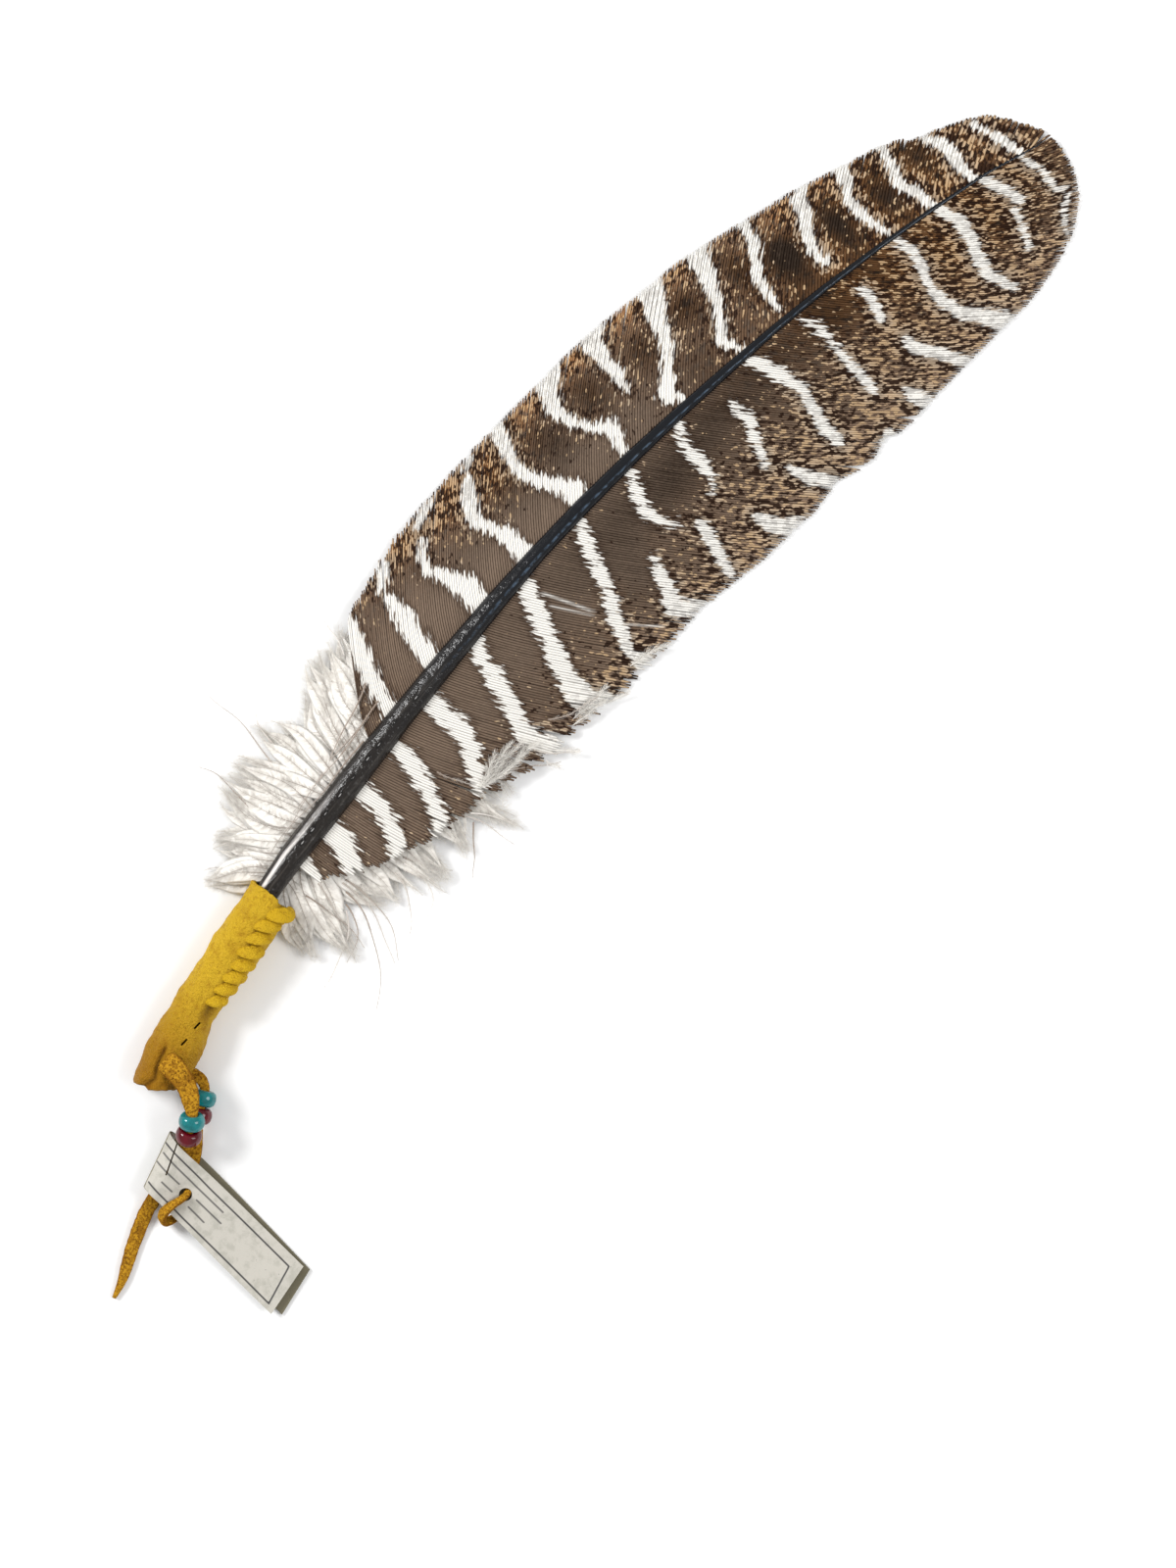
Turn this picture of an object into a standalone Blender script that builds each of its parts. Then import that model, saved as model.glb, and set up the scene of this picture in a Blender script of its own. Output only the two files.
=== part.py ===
"""Wing feather of a turkey with a laced leather handle, glass beads and a folded tag.

The feather lies face up on the ground plane: +Y runs from the handle to the feather's
tip, +X points to the side of the narrow vane and +Z is up. Every list below is in
millimetres, measured from a point in the middle of the handle's open end, and the
parent empty carries that layout to the middle of the feather's own footprint.
"""

import math

import bmesh
import bpy
from mathutils import Vector
import numpy as np

MM = 0.001
GAP = 0.3
LAYOUT_SHIFT = (15.6, -149.3)

# The shaft: y, x, height of its middle, width.
SHAFT = (
    (6, -3.7, 4.6, 2.2),
    (12, -4.9, 4.6, 4.0),
    (22, -7.0, 4.6, 4.8),
    (36, -10.0, 4.6, 5.3),
    (50, -12.9, 4.6, 5.5),
    (60, -14.5, 5.1, 6.2),
    (75, -15.9, 5.8, 6.5),
    (90, -17.6, 6.4, 6.3),
    (105, -19.1, 6.9, 5.9),
    (120, -20.3, 7.3, 5.5),
    (135, -21.4, 7.7, 4.9),
    (150, -22.2, 8.0, 4.1),
    (165, -22.3, 8.1, 3.9),
    (180, -22.0, 8.0, 3.5),
    (195, -21.3, 7.8, 3.0),
    (210, -20.2, 7.4, 2.6),
    (225, -18.9, 6.9, 2.1),
    (240, -17.1, 6.2, 1.8),
    (255, -14.8, 5.3, 1.4),
    (270, -12.0, 4.1, 1.1),
    (285, -8.8, 2.6, 0.8),
    (298, -4.8, 1.2, 0.5),
)

# The wide vane's outer edge and the narrow vane's outer edge: y, x.
WIDE_EDGE = (
    (64, -16.0), (92, -24.0), (98, -34.0), (104, -42.0), (111, -44.5), (120, -46.6),
    (130, -49.0), (150, -50.0), (180, -49.5), (200, -48.3), (220, -46.0), (240, -40.5),
    (260, -35.0), (270, -31.3), (279, -26.5), (285, -23.6), (290, -20.3), (295, -17.5),
    (299, -11.0), (301.5, -6.0),
)
NARROW_EDGE = (
    (64, -8.0), (72, 1.0), (80, 5.0), (95, 8.0), (110, 10.5), (115, 13.0), (125, 14.5),
    (135, 13.4), (150, 14.3), (170, 13.6), (190, 16.0), (205, 16.2), (220, 18.0),
    (232, 18.6), (250, 18.3), (268, 18.8), (280, 17.3), (290, 14.5), (295, 11.8),
    (299, 6.0), (301.5, 0.0),
)
VANE_FROM = 64.0
VANE_TO = 301.5
VANE_ROWS = 26
VANE_COLUMNS = 10
VANE_THICKNESS = 0.7
VANE_EDGE_HEIGHT = 0.55
VANE_CAMBER = 1.7

# The downy base on both sides of the shaft: y, left edge, right edge, height by the shaft.
DOWN = (
    (52.6, -27.0, 12.0, 5.0),
    (60.0, -36.0, 18.0, 6.4),
    (68.0, -41.0, 17.5, 7.0),
    (76.0, -44.0, 16.5, 7.4),
    (84.0, -41.5, 15.0, 7.6),
    (92.0, -43.5, 16.5, 7.8),
    (100.0, -46.0, 18.0, 8.0),
    (107.0, -44.5, 11.0, 7.6),
)
DOWN_COLUMNS = 10
DOWN_BOTTOM = 0.15
DOWN_EDGE_HEIGHT = 1.4

# The leather handle: the left and right points of each ring, from the mouth down.
WRAP_RINGS = (
    ((-17.0, 50.3), (-5.4, 51.4)),
    ((-14.4, 33.0), (-3.1, 34.0)),
    ((-11.7, 19.5), (-1.3, 20.5)),
    ((-10.1, 12.5), (2.2, 13.5)),
    ((-8.6, 6.0), (3.6, 7.4)),
    ((-6.6, 0.6), (3.6, 4.6)),
    ((-4.6, -2.8), (3.3, 2.6)),
)
WRAP_SIDES = 24
WRAP_HALF_HEIGHT = 4.6
WRAP_WALL = 1.0
WRAP_AXIS_HEIGHT = WRAP_HALF_HEIGHT * math.cos(math.pi / WRAP_SIDES)
# Slits that the lace is threaded through: x, y, width, length.
WRAP_SLITS = (
    (-2.6, 6.8, 0.9, 4.4),
    (-2.6, 12.7, 0.7, 2.0),
    (-3.1, 17.5, 0.7, 2.0),
)

# The whip-stitched lace along the handle's seam: y of each stitch's middle, and its
# place round the handle in degrees, from 0 at the right side to 90 on top.
STITCHES = (
    (49.0, 51), (45.8, 60), (42.3, 60), (38.6, 57), (35.2, 54), (31.6, 51), (28.0, 50), (24.4, 50),
)
STITCH_SWING = 20
STITCH_RISE = 0.9
STITCH_LIFT = 0.5
STITCH_RADIUS = 1.1

# The laces' routes: x, y, height, radius.
LACE_FRONT = (
    (-2.2, 6.8, 10.9, 1.3),
    (0.5, 6.8, 10.9, 1.3),
    (3.0, 6.5, 10.8, 1.3),
    (5.5, 5.7, 10.6, 1.3),
    (7.6, 4.4, 10.4, 1.2),
    (9.4, 2.9, 10.1, 1.0),
    (11.3, 0.9, 9.5, 0.85),
    (13.0, -2.1, 7.4, 0.85),
    (14.3, -5.0, 4.7, 0.85),
    (15.4, -8.2, 2.9, 0.85),
    (16.2, -11.5, 2.0, 0.85),
    (16.8, -15.0, 1.8, 0.9),
    (17.3, -18.5, 1.6, 1.1),
    (18.3, -22.5, 1.5, 1.3),
    (19.8, -26.5, 1.4, 1.3),
    (21.6, -30.5, 1.4, 1.3),
    (23.7, -34.5, 1.4, 1.2),
    (25.4, -38.2, 1.3, 0.9),
    (26.6, -41.8, 1.0, 0.5),
)
LACE_BACK = (
    (4.9, 8.7, 3.4, 1.3),
    (6.1, 8.8, 3.3, 1.2),
    (7.3, 8.4, 3.2, 1.0),
    (8.4, 7.6, 3.15, 0.85),
    (9.4, 6.0, 3.1, 0.85),
    (11.4, 2.5, 3.1, 0.85),
    (13.4, -0.6, 2.3, 0.85),
    (15.6, -3.4, 1.7, 0.85),
    (17.5, -6.0, 1.6, 0.85),
    (19.4, -8.4, 1.6, 0.85),
    (21.2, -10.4, 2.2, 0.85),
    (22.0, -12.3, 4.0, 0.85),
    (22.0, -13.8, 5.9, 0.85),
    (21.5, -16.0, 6.3, 0.85),
    (21.2, -18.0, 6.1, 0.85),
    (21.4, -19.8, 5.0, 0.85),
    (22.3, -20.9, 3.3, 0.85),
    (23.3, -20.2, 2.0, 0.85),
    (24.0, -18.2, 1.6, 0.85),
)
ROUTE_STEPS = 2

BEAD_RADIUS = 3.05
BEAD_LENGTH = 3.6
BEAD_BORE = 1.25
BEAD_LIP = 0.3
BEAD_ROUNDING = 1.2
BEAD_SIDES = 20
BEAD_EDGE_POINTS = 5
# Each bead: name, colour, route, index of its point on that route.
TURQUOISE = (0.02, 0.33, 0.33)
DARK_RED = (0.20, 0.005, 0.02)
BEADS = (
    ("bead_turquoise_front", TURQUOISE, LACE_FRONT, 6),
    ("bead_red_front", DARK_RED, LACE_FRONT, 7),
    ("bead_turquoise_back", TURQUOISE, LACE_BACK, 4),
    ("bead_red_back", DARK_RED, LACE_BACK, 5),
)

# The folded tag, from the back layer's free end round the fold to the front layer's:
# x at its top edge, y of its top edge, height, x at its lower edge, y of its lower edge.
TAG = (
    (54.6, -5.6, 0.35, 57.2, -17.6),
    (40.0, -5.0, 0.3, 42.4, -17.4),
    (25.0, -4.5, 0.3, 27.6, -17.2),
    (14.0, -4.4, 0.3, 17.6, -17.4),
    (10.6, -4.5, 1.0, 14.9, -17.8),
    (9.3, -4.8, 3.0, 13.8, -18.0),
    (10.4, -5.2, 5.2, 14.2, -18.1),
    (13.2, -5.5, 6.6, 16.4, -18.2),
    (16.5, -5.6, 5.7, 19.4, -18.2),
    (20.5, -5.6, 4.2, 23.0, -18.3),
    (27.0, -5.6, 3.4, 29.4, -18.5),
    (38.0, -5.8, 2.3, 40.4, -18.9),
    (53.0, -6.0, 1.9, 55.3, -19.1),
)
TAG_THICKNESS = 0.35
TAG_ROWS = 4
TAG_HOLE = (21.9, -12.7, 1.6)


def clear_scene():
    for old in list(bpy.data.objects):
        bpy.data.objects.remove(old, do_unlink=True)


def new_collection(name):
    collection = bpy.data.collections.new(name)
    bpy.context.scene.collection.children.link(collection)
    return collection


def new_material(name, colour, roughness):
    material = bpy.data.materials.new(name)
    material.use_nodes = True
    shader = material.node_tree.nodes["Principled BSDF"]
    shader.inputs["Base Color"].default_value = (*colour, 1.0)
    shader.inputs["Roughness"].default_value = roughness
    shader.inputs["Metallic"].default_value = 0.0
    return material


def table_value(table, y, column):
    """Reads one column of a table whose first column is y, in rising order."""
    rows = np.array(table, dtype=float)
    return float(np.interp(y, rows[:, 0], rows[:, column]))


def place(obj, collection, parent, material=None):
    collection.objects.link(obj)
    obj.parent = parent
    if material:
        obj.data.materials.append(material)
    return obj


def make_cutter(obj):
    obj.hide_render = True
    obj.display_type = "WIRE"


def object_from_bmesh(name, bm, collection, parent, material=None):
    mesh = bpy.data.meshes.new(name)
    bmesh.ops.recalc_face_normals(bm, faces=bm.faces)
    bm.to_mesh(mesh)
    bm.free()
    return place(bpy.data.objects.new(name, mesh), collection, parent, material)


def solidify(obj, thickness, offset):
    wall = obj.modifiers.new("thickness", "SOLIDIFY")
    wall.thickness = thickness * MM
    wall.offset = offset


def add_boolean(obj, other, operation):
    joined = obj.modifiers.new(other.name, "BOOLEAN")
    joined.operation = operation
    joined.solver = "EXACT"
    joined.object = other


def smooth_route(route):
    """Points of a Catmull-Rom curve through the route, ROUTE_STEPS to each stretch."""
    knots = [Vector(point) for point in route]
    knots = [2 * knots[0] - knots[1]] + knots + [2 * knots[-1] - knots[-2]]
    points = []
    for a, b, c, d in zip(knots, knots[1:], knots[2:], knots[3:]):
        for step in range(ROUTE_STEPS):
            t = step / ROUTE_STEPS
            bend = (2 * a - 5 * b + 4 * c - d) * t + (3 * b - a - 3 * c + d) * t * t
            points.append(b + 0.5 * t * ((c - a) + bend))
    points.append(knots[-2])
    return points


def new_tube(name, points, resolution):
    """A round tube along (x, y, height, radius) points, as a curve object."""
    curve = bpy.data.curves.new(name, "CURVE")
    curve.dimensions = "3D"
    curve.bevel_depth = MM
    curve.bevel_resolution = resolution
    curve.use_fill_caps = True
    spline = curve.splines.new("POLY")
    spline.points.add(len(points) - 1)
    for target, (x, y, z, radius) in zip(spline.points, points):
        target.co = (x * MM, y * MM, z * MM, 1.0)
        target.radius = radius
    return bpy.data.objects.new(name, curve)


def mesh_of_tube(tube, collection, parent, material):
    """Turns a curve tube into a closed mesh object that a Boolean can use."""
    bpy.context.scene.collection.objects.link(tube)
    bpy.context.view_layer.update()
    graph = bpy.context.evaluated_depsgraph_get()
    mesh = bpy.data.meshes.new_from_object(tube.evaluated_get(graph))
    name = tube.name
    bpy.data.objects.remove(tube, do_unlink=True)
    bm = bmesh.new()
    bm.from_mesh(mesh)
    bmesh.ops.remove_doubles(bm, verts=bm.verts, dist=1e-6)
    bpy.data.meshes.remove(mesh)
    return object_from_bmesh(name, bm, collection, parent, material)


def vane_height(y, across):
    """Height of the vane's middle surface, across = 0 at the shaft and 1 at its edge."""
    drop = table_value(SHAFT, y, 2) - VANE_EDGE_HEIGHT
    return VANE_EDGE_HEIGHT + drop * (1.0 - across ** VANE_CAMBER)


def make_vane(collection, parent):
    """Both vanes as one cambered sheet, lofted from the edges to the shaft's line."""
    bm = bmesh.new()
    bmesh.ops.create_grid(bm, x_segments=VANE_COLUMNS, y_segments=VANE_ROWS, size=1.0)
    for vert in bm.verts:
        side, along = vert.co.x, 0.5 + 0.5 * vert.co.y
        y = VANE_FROM + along * (VANE_TO - VANE_FROM)
        edge = WIDE_EDGE if side < 0 else NARROW_EDGE
        middle = table_value(SHAFT, y, 1)
        x = middle + abs(side) * (table_value(edge, y, 1) - middle)
        vert.co = Vector((x, y, vane_height(y, abs(side)))) * MM
    vane = object_from_bmesh("vane_shape", bm, collection, parent)
    solidify(vane, VANE_THICKNESS, 0.0)
    make_cutter(vane)
    return vane


def make_down(collection, parent):
    """The downy base as one soft pad that reaches the tips of its barbs."""
    bm = bmesh.new()
    bmesh.ops.create_grid(bm, x_segments=DOWN_COLUMNS, y_segments=len(DOWN) - 1, size=1.0)
    lower = bmesh.ops.extrude_face_region(bm, geom=list(bm.faces), use_keep_orig=True)["geom"]
    lower = {item for item in lower if isinstance(item, bmesh.types.BMVert)}
    for vert in bm.verts:
        side, along = vert.co.x, 0.5 + 0.5 * vert.co.y
        y, left, right, height = DOWN[round(along * (len(DOWN) - 1))]
        middle = table_value(SHAFT, y, 1)
        x = middle + abs(side) * ((left if side < 0 else right) - middle)
        z = DOWN_EDGE_HEIGHT + (height - DOWN_EDGE_HEIGHT) * (1.0 - side * side)
        vert.co = Vector((x, y, DOWN_BOTTOM if vert in lower else z)) * MM
    down = object_from_bmesh("down_shape", bm, collection, parent)
    make_cutter(down)
    return down


def make_feather(collection, cutters, parent):
    """One grown piece: the shaft, joined with its vanes and its downy base."""
    points = [(x, y, z, 0.5 * width) for y, x, z, width in SHAFT]
    material = new_material("dark_barred_feather", (0.13, 0.10, 0.075), 0.6)
    feather = mesh_of_tube(new_tube("feather", points, 3), collection, parent, material)
    add_boolean(feather, make_vane(cutters, parent), "UNION")
    add_boolean(feather, make_down(cutters, parent), "UNION")
    return feather


def make_box_cutter(name, size, centre, collection, parent):
    bm = bmesh.new()
    bmesh.ops.create_cube(bm, size=1.0)
    bmesh.ops.scale(bm, vec=Vector(size) * MM, verts=bm.verts)
    cutter = object_from_bmesh(name, bm, collection, parent)
    cutter.location = Vector(centre) * MM
    make_cutter(cutter)
    return cutter


def make_wrap(collection, cutters, parent):
    """The leather handle: a flattened tube, open at both ends, with the lace's slits."""
    bm = bmesh.new()
    rings = []
    for left, right in WRAP_RINGS:
        centre = (Vector(left) + Vector(right)) / 2
        reach = (Vector(right) - Vector(left)) / 2
        ring = bmesh.ops.create_circle(bm, cap_ends=False, segments=WRAP_SIDES, radius=1.0)
        for index, vert in enumerate(ring["verts"]):
            angle = 2 * math.pi * (index + 0.5) / WRAP_SIDES
            spot = centre + reach * math.cos(angle)
            height = WRAP_AXIS_HEIGHT + WRAP_HALF_HEIGHT * math.sin(angle)
            vert.co = Vector((spot.x, spot.y, height)) * MM
        rings.append({edge for vert in ring["verts"] for edge in vert.link_edges})
    for upper, lower in zip(rings, rings[1:]):
        bmesh.ops.bridge_loops(bm, edges=list(upper | lower))
    material = new_material("yellow_buckskin", (0.45, 0.22, 0.004), 0.75)
    wrap = object_from_bmesh("leather_wrap", bm, collection, parent, material)
    solidify(wrap, WRAP_WALL, -1.0)
    for index, (x, y, width, length) in enumerate(WRAP_SLITS):
        size = (width, length, 2 * WRAP_HALF_HEIGHT)
        place_at = (x, y, 1.8 * WRAP_HALF_HEIGHT + WRAP_AXIS_HEIGHT)
        slit = make_box_cutter(f"slit_shape_{index + 1}", size, place_at, cutters, parent)
        add_boolean(wrap, slit, "DIFFERENCE")
    return wrap


def beside_wrap(y, degrees, lift):
    """A point lifted off the handle's outer surface, at y and at an angle round it."""
    rings = sorted((0.5 * (a[1] + b[1]), 0.5 * (a[0] + b[0]), 0.5 * (b[0] - a[0])) for a, b in WRAP_RINGS)
    angle = math.radians(degrees)
    x = table_value(rings, y, 1) + (table_value(rings, y, 2) + lift) * math.cos(angle)
    return x, y, WRAP_AXIS_HEIGHT + (WRAP_HALF_HEIGHT + lift) * math.sin(angle)


def make_seam_lace(collection, parent):
    """The lace whipped over the seam, as one tube that climbs from stitch to stitch."""
    points = []
    for y, degrees in STITCHES:
        for share in (1.0, 0.0, -1.0):
            lift = STITCH_RADIUS + GAP + STITCH_LIFT
            spot = beside_wrap(y + STITCH_RISE * share, degrees - STITCH_SWING * share, lift)
            points.append((*spot, STITCH_RADIUS))
    material = new_material("yellow_lace", (0.50, 0.27, 0.01), 0.8)
    return place(new_tube("seam_lace", smooth_route(points), 2), collection, parent, material)


def make_laces(collection, parent):
    material = new_material("tan_suede_lace", (0.42, 0.20, 0.03), 0.9)
    for name, route in (("lace_front", LACE_FRONT), ("lace_back", LACE_BACK)):
        place(new_tube(name, smooth_route(route), 2), collection, parent, material)


def make_bead(name, colour, route, index, collection, parent):
    """A round glass bead threaded on a lace at one point of its route."""
    half = 0.5 * BEAD_LENGTH
    corner = BEAD_RADIUS - BEAD_ROUNDING
    profile = [(BEAD_BORE, half - BEAD_LIP), (BEAD_BORE + BEAD_LIP, half)]
    for step in range(BEAD_EDGE_POINTS + 1):
        angle = math.pi * (0.5 - step / BEAD_EDGE_POINTS)
        profile.append((corner + BEAD_ROUNDING * math.cos(angle), half * math.sin(angle)))
    profile += [(BEAD_BORE + BEAD_LIP, -half), (BEAD_BORE, BEAD_LIP - half)]
    bm = bmesh.new()
    verts = [bm.verts.new((r * MM, 0.0, z * MM)) for r, z in profile]
    for first, second in zip(verts, verts[1:] + verts[:1]):
        bm.edges.new((first, second))
    bead = object_from_bmesh(name, bm, collection, parent, new_material(name, colour, 0.15))
    screw = bead.modifiers.new("turning", "SCREW")
    screw.axis = "Z"
    screw.steps = BEAD_SIDES
    screw.render_steps = BEAD_SIDES
    screw.use_merge_vertices = True
    screw.merge_threshold = 1e-6
    before, after = Vector(route[index - 1][:3]), Vector(route[index + 1][:3])
    bead.rotation_mode = "QUATERNION"
    bead.rotation_quaternion = (after - before).to_track_quat("Z", "Y")
    bead.location = Vector(route[index][:3]) * MM
    return bead


def make_tag(collection, cutters, parent):
    """The card tag, folded once at its left end round the laces."""
    bm = bmesh.new()
    bmesh.ops.create_grid(bm, x_segments=len(TAG) - 1, y_segments=TAG_ROWS, size=1.0)
    for vert in bm.verts:
        station = round((0.5 + 0.5 * vert.co.x) * (len(TAG) - 1))
        down = 0.5 - 0.5 * vert.co.y
        top_x, top_y, height, low_x, low_y = TAG[station]
        x, y = top_x + down * (low_x - top_x), top_y + down * (low_y - top_y)
        vert.co = Vector((x, y, height)) * MM
    tag = object_from_bmesh("tag", bm, collection, parent, new_material("card", (0.6, 0.59, 0.52), 0.8))
    solidify(tag, TAG_THICKNESS, 0.0)
    x, y, radius = TAG_HOLE
    bm = bmesh.new()
    bmesh.ops.create_cone(
        bm, cap_ends=True, segments=16, radius1=radius * MM, radius2=radius * MM, depth=4 * MM
    )
    hole = object_from_bmesh("hole_shape", bm, cutters, parent)
    hole.location = (x * MM, y * MM, 4.6 * MM)
    make_cutter(hole)
    add_boolean(tag, hole, "DIFFERENCE")
    return tag


def main():
    clear_scene()
    parts = new_collection("turkey_wing_feather")
    cutters = new_collection("cutters")
    cutters.hide_render = True
    layout = bpy.data.objects.new("layout", None)
    layout.location = (LAYOUT_SHIFT[0] * MM, LAYOUT_SHIFT[1] * MM, 0.0)
    parts.objects.link(layout)
    make_feather(parts, cutters, layout)
    make_wrap(parts, cutters, layout)
    make_seam_lace(parts, layout)
    make_laces(parts, layout)
    for name, colour, route, index in BEADS:
        make_bead(name, colour, route, index, parts, layout)
    make_tag(parts, cutters, layout)


main()
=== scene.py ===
"""Wing feather of a turkey with its leather handle, laces, glass beads and folded tag.

The feather lies face up. Lists of places are in millimetres in the layout of the CAD
model: +Y runs from the handle's open end to the feather's tip, +X points to the narrow
vane and Z is the height above the surface. to_row() turns them into the row frame.
"""

import math

import bmesh
import bpy
from mathutils import Matrix, Vector
import numpy as np


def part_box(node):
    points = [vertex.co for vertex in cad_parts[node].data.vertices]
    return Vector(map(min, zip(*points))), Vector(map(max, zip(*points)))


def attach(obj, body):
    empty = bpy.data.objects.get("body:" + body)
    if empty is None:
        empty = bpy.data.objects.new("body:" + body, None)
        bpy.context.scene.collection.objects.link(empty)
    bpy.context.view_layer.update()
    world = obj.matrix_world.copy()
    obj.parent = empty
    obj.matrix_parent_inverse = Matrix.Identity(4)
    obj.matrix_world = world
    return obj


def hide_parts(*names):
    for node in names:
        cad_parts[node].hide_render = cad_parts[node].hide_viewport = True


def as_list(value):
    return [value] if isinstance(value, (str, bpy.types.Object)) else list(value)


bl_info = {
    "name": "Turkey Wing Feather",
    "version": (1, 0, 0),
    "blender": (4, 5, 0),
    "location": "3D View > Sidebar > Feather",
    "description": "Builds a barred wing feather with a laced leather handle, beads and a tag",
    "category": "Object",
}

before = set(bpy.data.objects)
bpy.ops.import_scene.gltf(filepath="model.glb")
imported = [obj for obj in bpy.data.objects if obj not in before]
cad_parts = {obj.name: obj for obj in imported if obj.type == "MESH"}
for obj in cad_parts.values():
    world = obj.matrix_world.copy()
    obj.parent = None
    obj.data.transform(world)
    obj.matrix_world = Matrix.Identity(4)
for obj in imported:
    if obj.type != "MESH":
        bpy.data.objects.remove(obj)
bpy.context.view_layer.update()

MM = 0.001

# The layout's left end and tip, which the feather's solid shares with the row frame.
LAYOUT_LEFT = -50.05
LAYOUT_TIP = 301.6
FEATHER_LOW, FEATHER_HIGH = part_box("feather")
LAYOUT_SHIFT = np.array(
    (FEATHER_LOW[0] / MM - LAYOUT_LEFT, FEATHER_HIGH[1] / MM - LAYOUT_TIP, 0.0)
)
# Nothing is this many millimetres away, so a search for the nearest starts from it.
FAR_AWAY = 99.0

# ------------------------------------------------------------------ the feather's plan

# The shaft: y, x, height of its middle, width.
SHAFT = (
    (6, -3.7, 4.6, 2.2), (12, -4.9, 4.6, 4.0), (22, -7.0, 4.6, 4.8), (36, -10.0, 4.6, 5.3),
    (50, -12.9, 4.6, 5.5), (60, -14.5, 5.1, 6.2), (75, -15.9, 5.8, 6.5), (90, -17.6, 6.4, 6.3),
    (105, -19.1, 6.9, 5.9), (120, -20.3, 7.3, 5.5), (135, -21.4, 7.7, 4.9), (150, -22.2, 8.0, 4.1),
    (165, -22.3, 8.1, 3.9), (180, -22.0, 8.0, 3.5), (195, -21.3, 7.8, 3.0), (210, -20.2, 7.4, 2.6),
    (225, -18.9, 6.9, 2.1), (240, -17.1, 6.2, 1.8), (255, -14.8, 5.3, 1.4), (270, -12.0, 4.1, 1.1),
    (285, -8.8, 2.6, 0.8), (298, -4.8, 1.2, 0.4),
)
VANE_TOP = 301.5
VANE_CAMBER = 1.7
VANE_ROOT_RISE = 0.12

# Outer edges: y, x, height of the edge.
WIDE_EDGE = (
    (88, -24.0, 5.0), (92, -30.0, 4.6), (98, -36.5, 4.0), (104, -42.5, 3.4),
    (111, -44.5, 2.4), (120, -46.6, 1.6), (130, -49.0, 1.0), (140, -49.6, 0.6),
    (150, -50.0, 0.55), (170, -49.9, 0.55), (180, -49.5, 0.55), (190, -49.6, 0.55),
    (200, -48.5, 0.55), (210, -47.2, 0.55), (220, -46.0, 0.55), (230, -43.8, 0.55),
    (240, -41.0, 0.55), (250, -38.5, 0.55), (260, -35.2, 0.55), (265, -33.2, 0.55),
    (271, -31.5, 0.55), (276.5, -28.6, 0.55), (279, -26.6, 0.55), (281, -25.6, 0.55),
    (285, -23.9, 0.55), (290, -21.3, 0.55), (294.5, -18.6, 0.55), (297.5, -14.2, 0.55),
    (300, -9.4, 0.55), (301.5, -5.0, 0.55),
)
NARROW_EDGE = (
    (60, -6.0, 5.2), (66, -2.0, 5.2), (72, 1.5, 5.0), (80, 4.5, 4.6), (88, 6.8, 4.2),
    (95, 8.0, 3.8), (105, 9.6, 3.2), (112, 11.2, 2.6), (120, 13.4, 1.8), (128, 13.4, 1.0),
    (135, 13.4, 0.7), (141, 14.4, 0.55), (150, 14.4, 0.55), (160, 14.0, 0.55),
    (167, 13.6, 0.55), (175, 14.7, 0.55), (185, 16.0, 0.55), (195, 16.5, 0.55),
    (202, 16.8, 0.55), (206, 16.2, 0.55), (209.5, 15.6, 0.55), (213, 16.6, 0.55),
    (219, 18.2, 0.55), (222, 17.6, 0.55), (225, 16.6, 0.55), (228, 18.2, 0.55),
    (235, 18.6, 0.55), (245, 18.4, 0.55), (258, 18.6, 0.55), (268, 19.0, 0.55),
    (275, 18.5, 0.55), (283, 17.0, 0.55), (289, 15.0, 0.55), (293, 12.8, 0.55),
    (297, 9.2, 0.55), (299.5, 5.4, 0.55), (301, 1.6, 0.55), (301.5, -2.0, 0.55),
)

# How the barbs leave: place on the shaft, then degrees above level there and at the edge.
WIDE_FAN = (
    (92, 12, 40), (110, 20, 46), (130, 30, 52), (160, 38, 55), (200, 42, 57),
    (240, 46, 60), (270, 50, 65), (286, 58, 74), (298, 92, 104),
)
NARROW_FAN = (
    (60, 2, 8), (75, 8, 14), (90, 14, 24), (110, 21, 32), (140, 27, 38), (170, 30, 41),
    (210, 33, 45), (250, 38, 50), (278, 45, 58), (290, 54, 68), (298, 74, 84),
)

# Places on the shaft where the vane has come apart: place, gap and start of the gap as a
# share of the barb.
WIDE_SPLITS = ((104, 0.5, 0.5), (154, 0.3, 0.7), (176, 0.35, 0.75), (257, 0.9, 0.82), (296, 1.0, 0.1))
NARROW_SPLITS = (
    (84, 0.5, 0.45), (92, 0.7, 0.5), (101, 0.9, 0.55), (108, 1.0, 0.6), (116, 0.9, 0.72),
    (139, 0.35, 0.1), (141.5, 0.35, 0.15), (147, 0.3, 0.55), (185, 0.8, 0.88), (200, 1.0, 0.9),
    (252, 0.25, 0.4),
)
# How ragged the edge is: place on the shaft, spread of the barbs' lengths.
WIDE_FRAY = ((92, 0.8), (110, 0.9), (130, 0.5), (150, 0.15), (298, 0.12))
NARROW_FRAY = ((60, 1.2), (90, 1.6), (104, 2.2), (125, 1.4), (140, 0.5), (160, 0.15), (298, 0.15))

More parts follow.
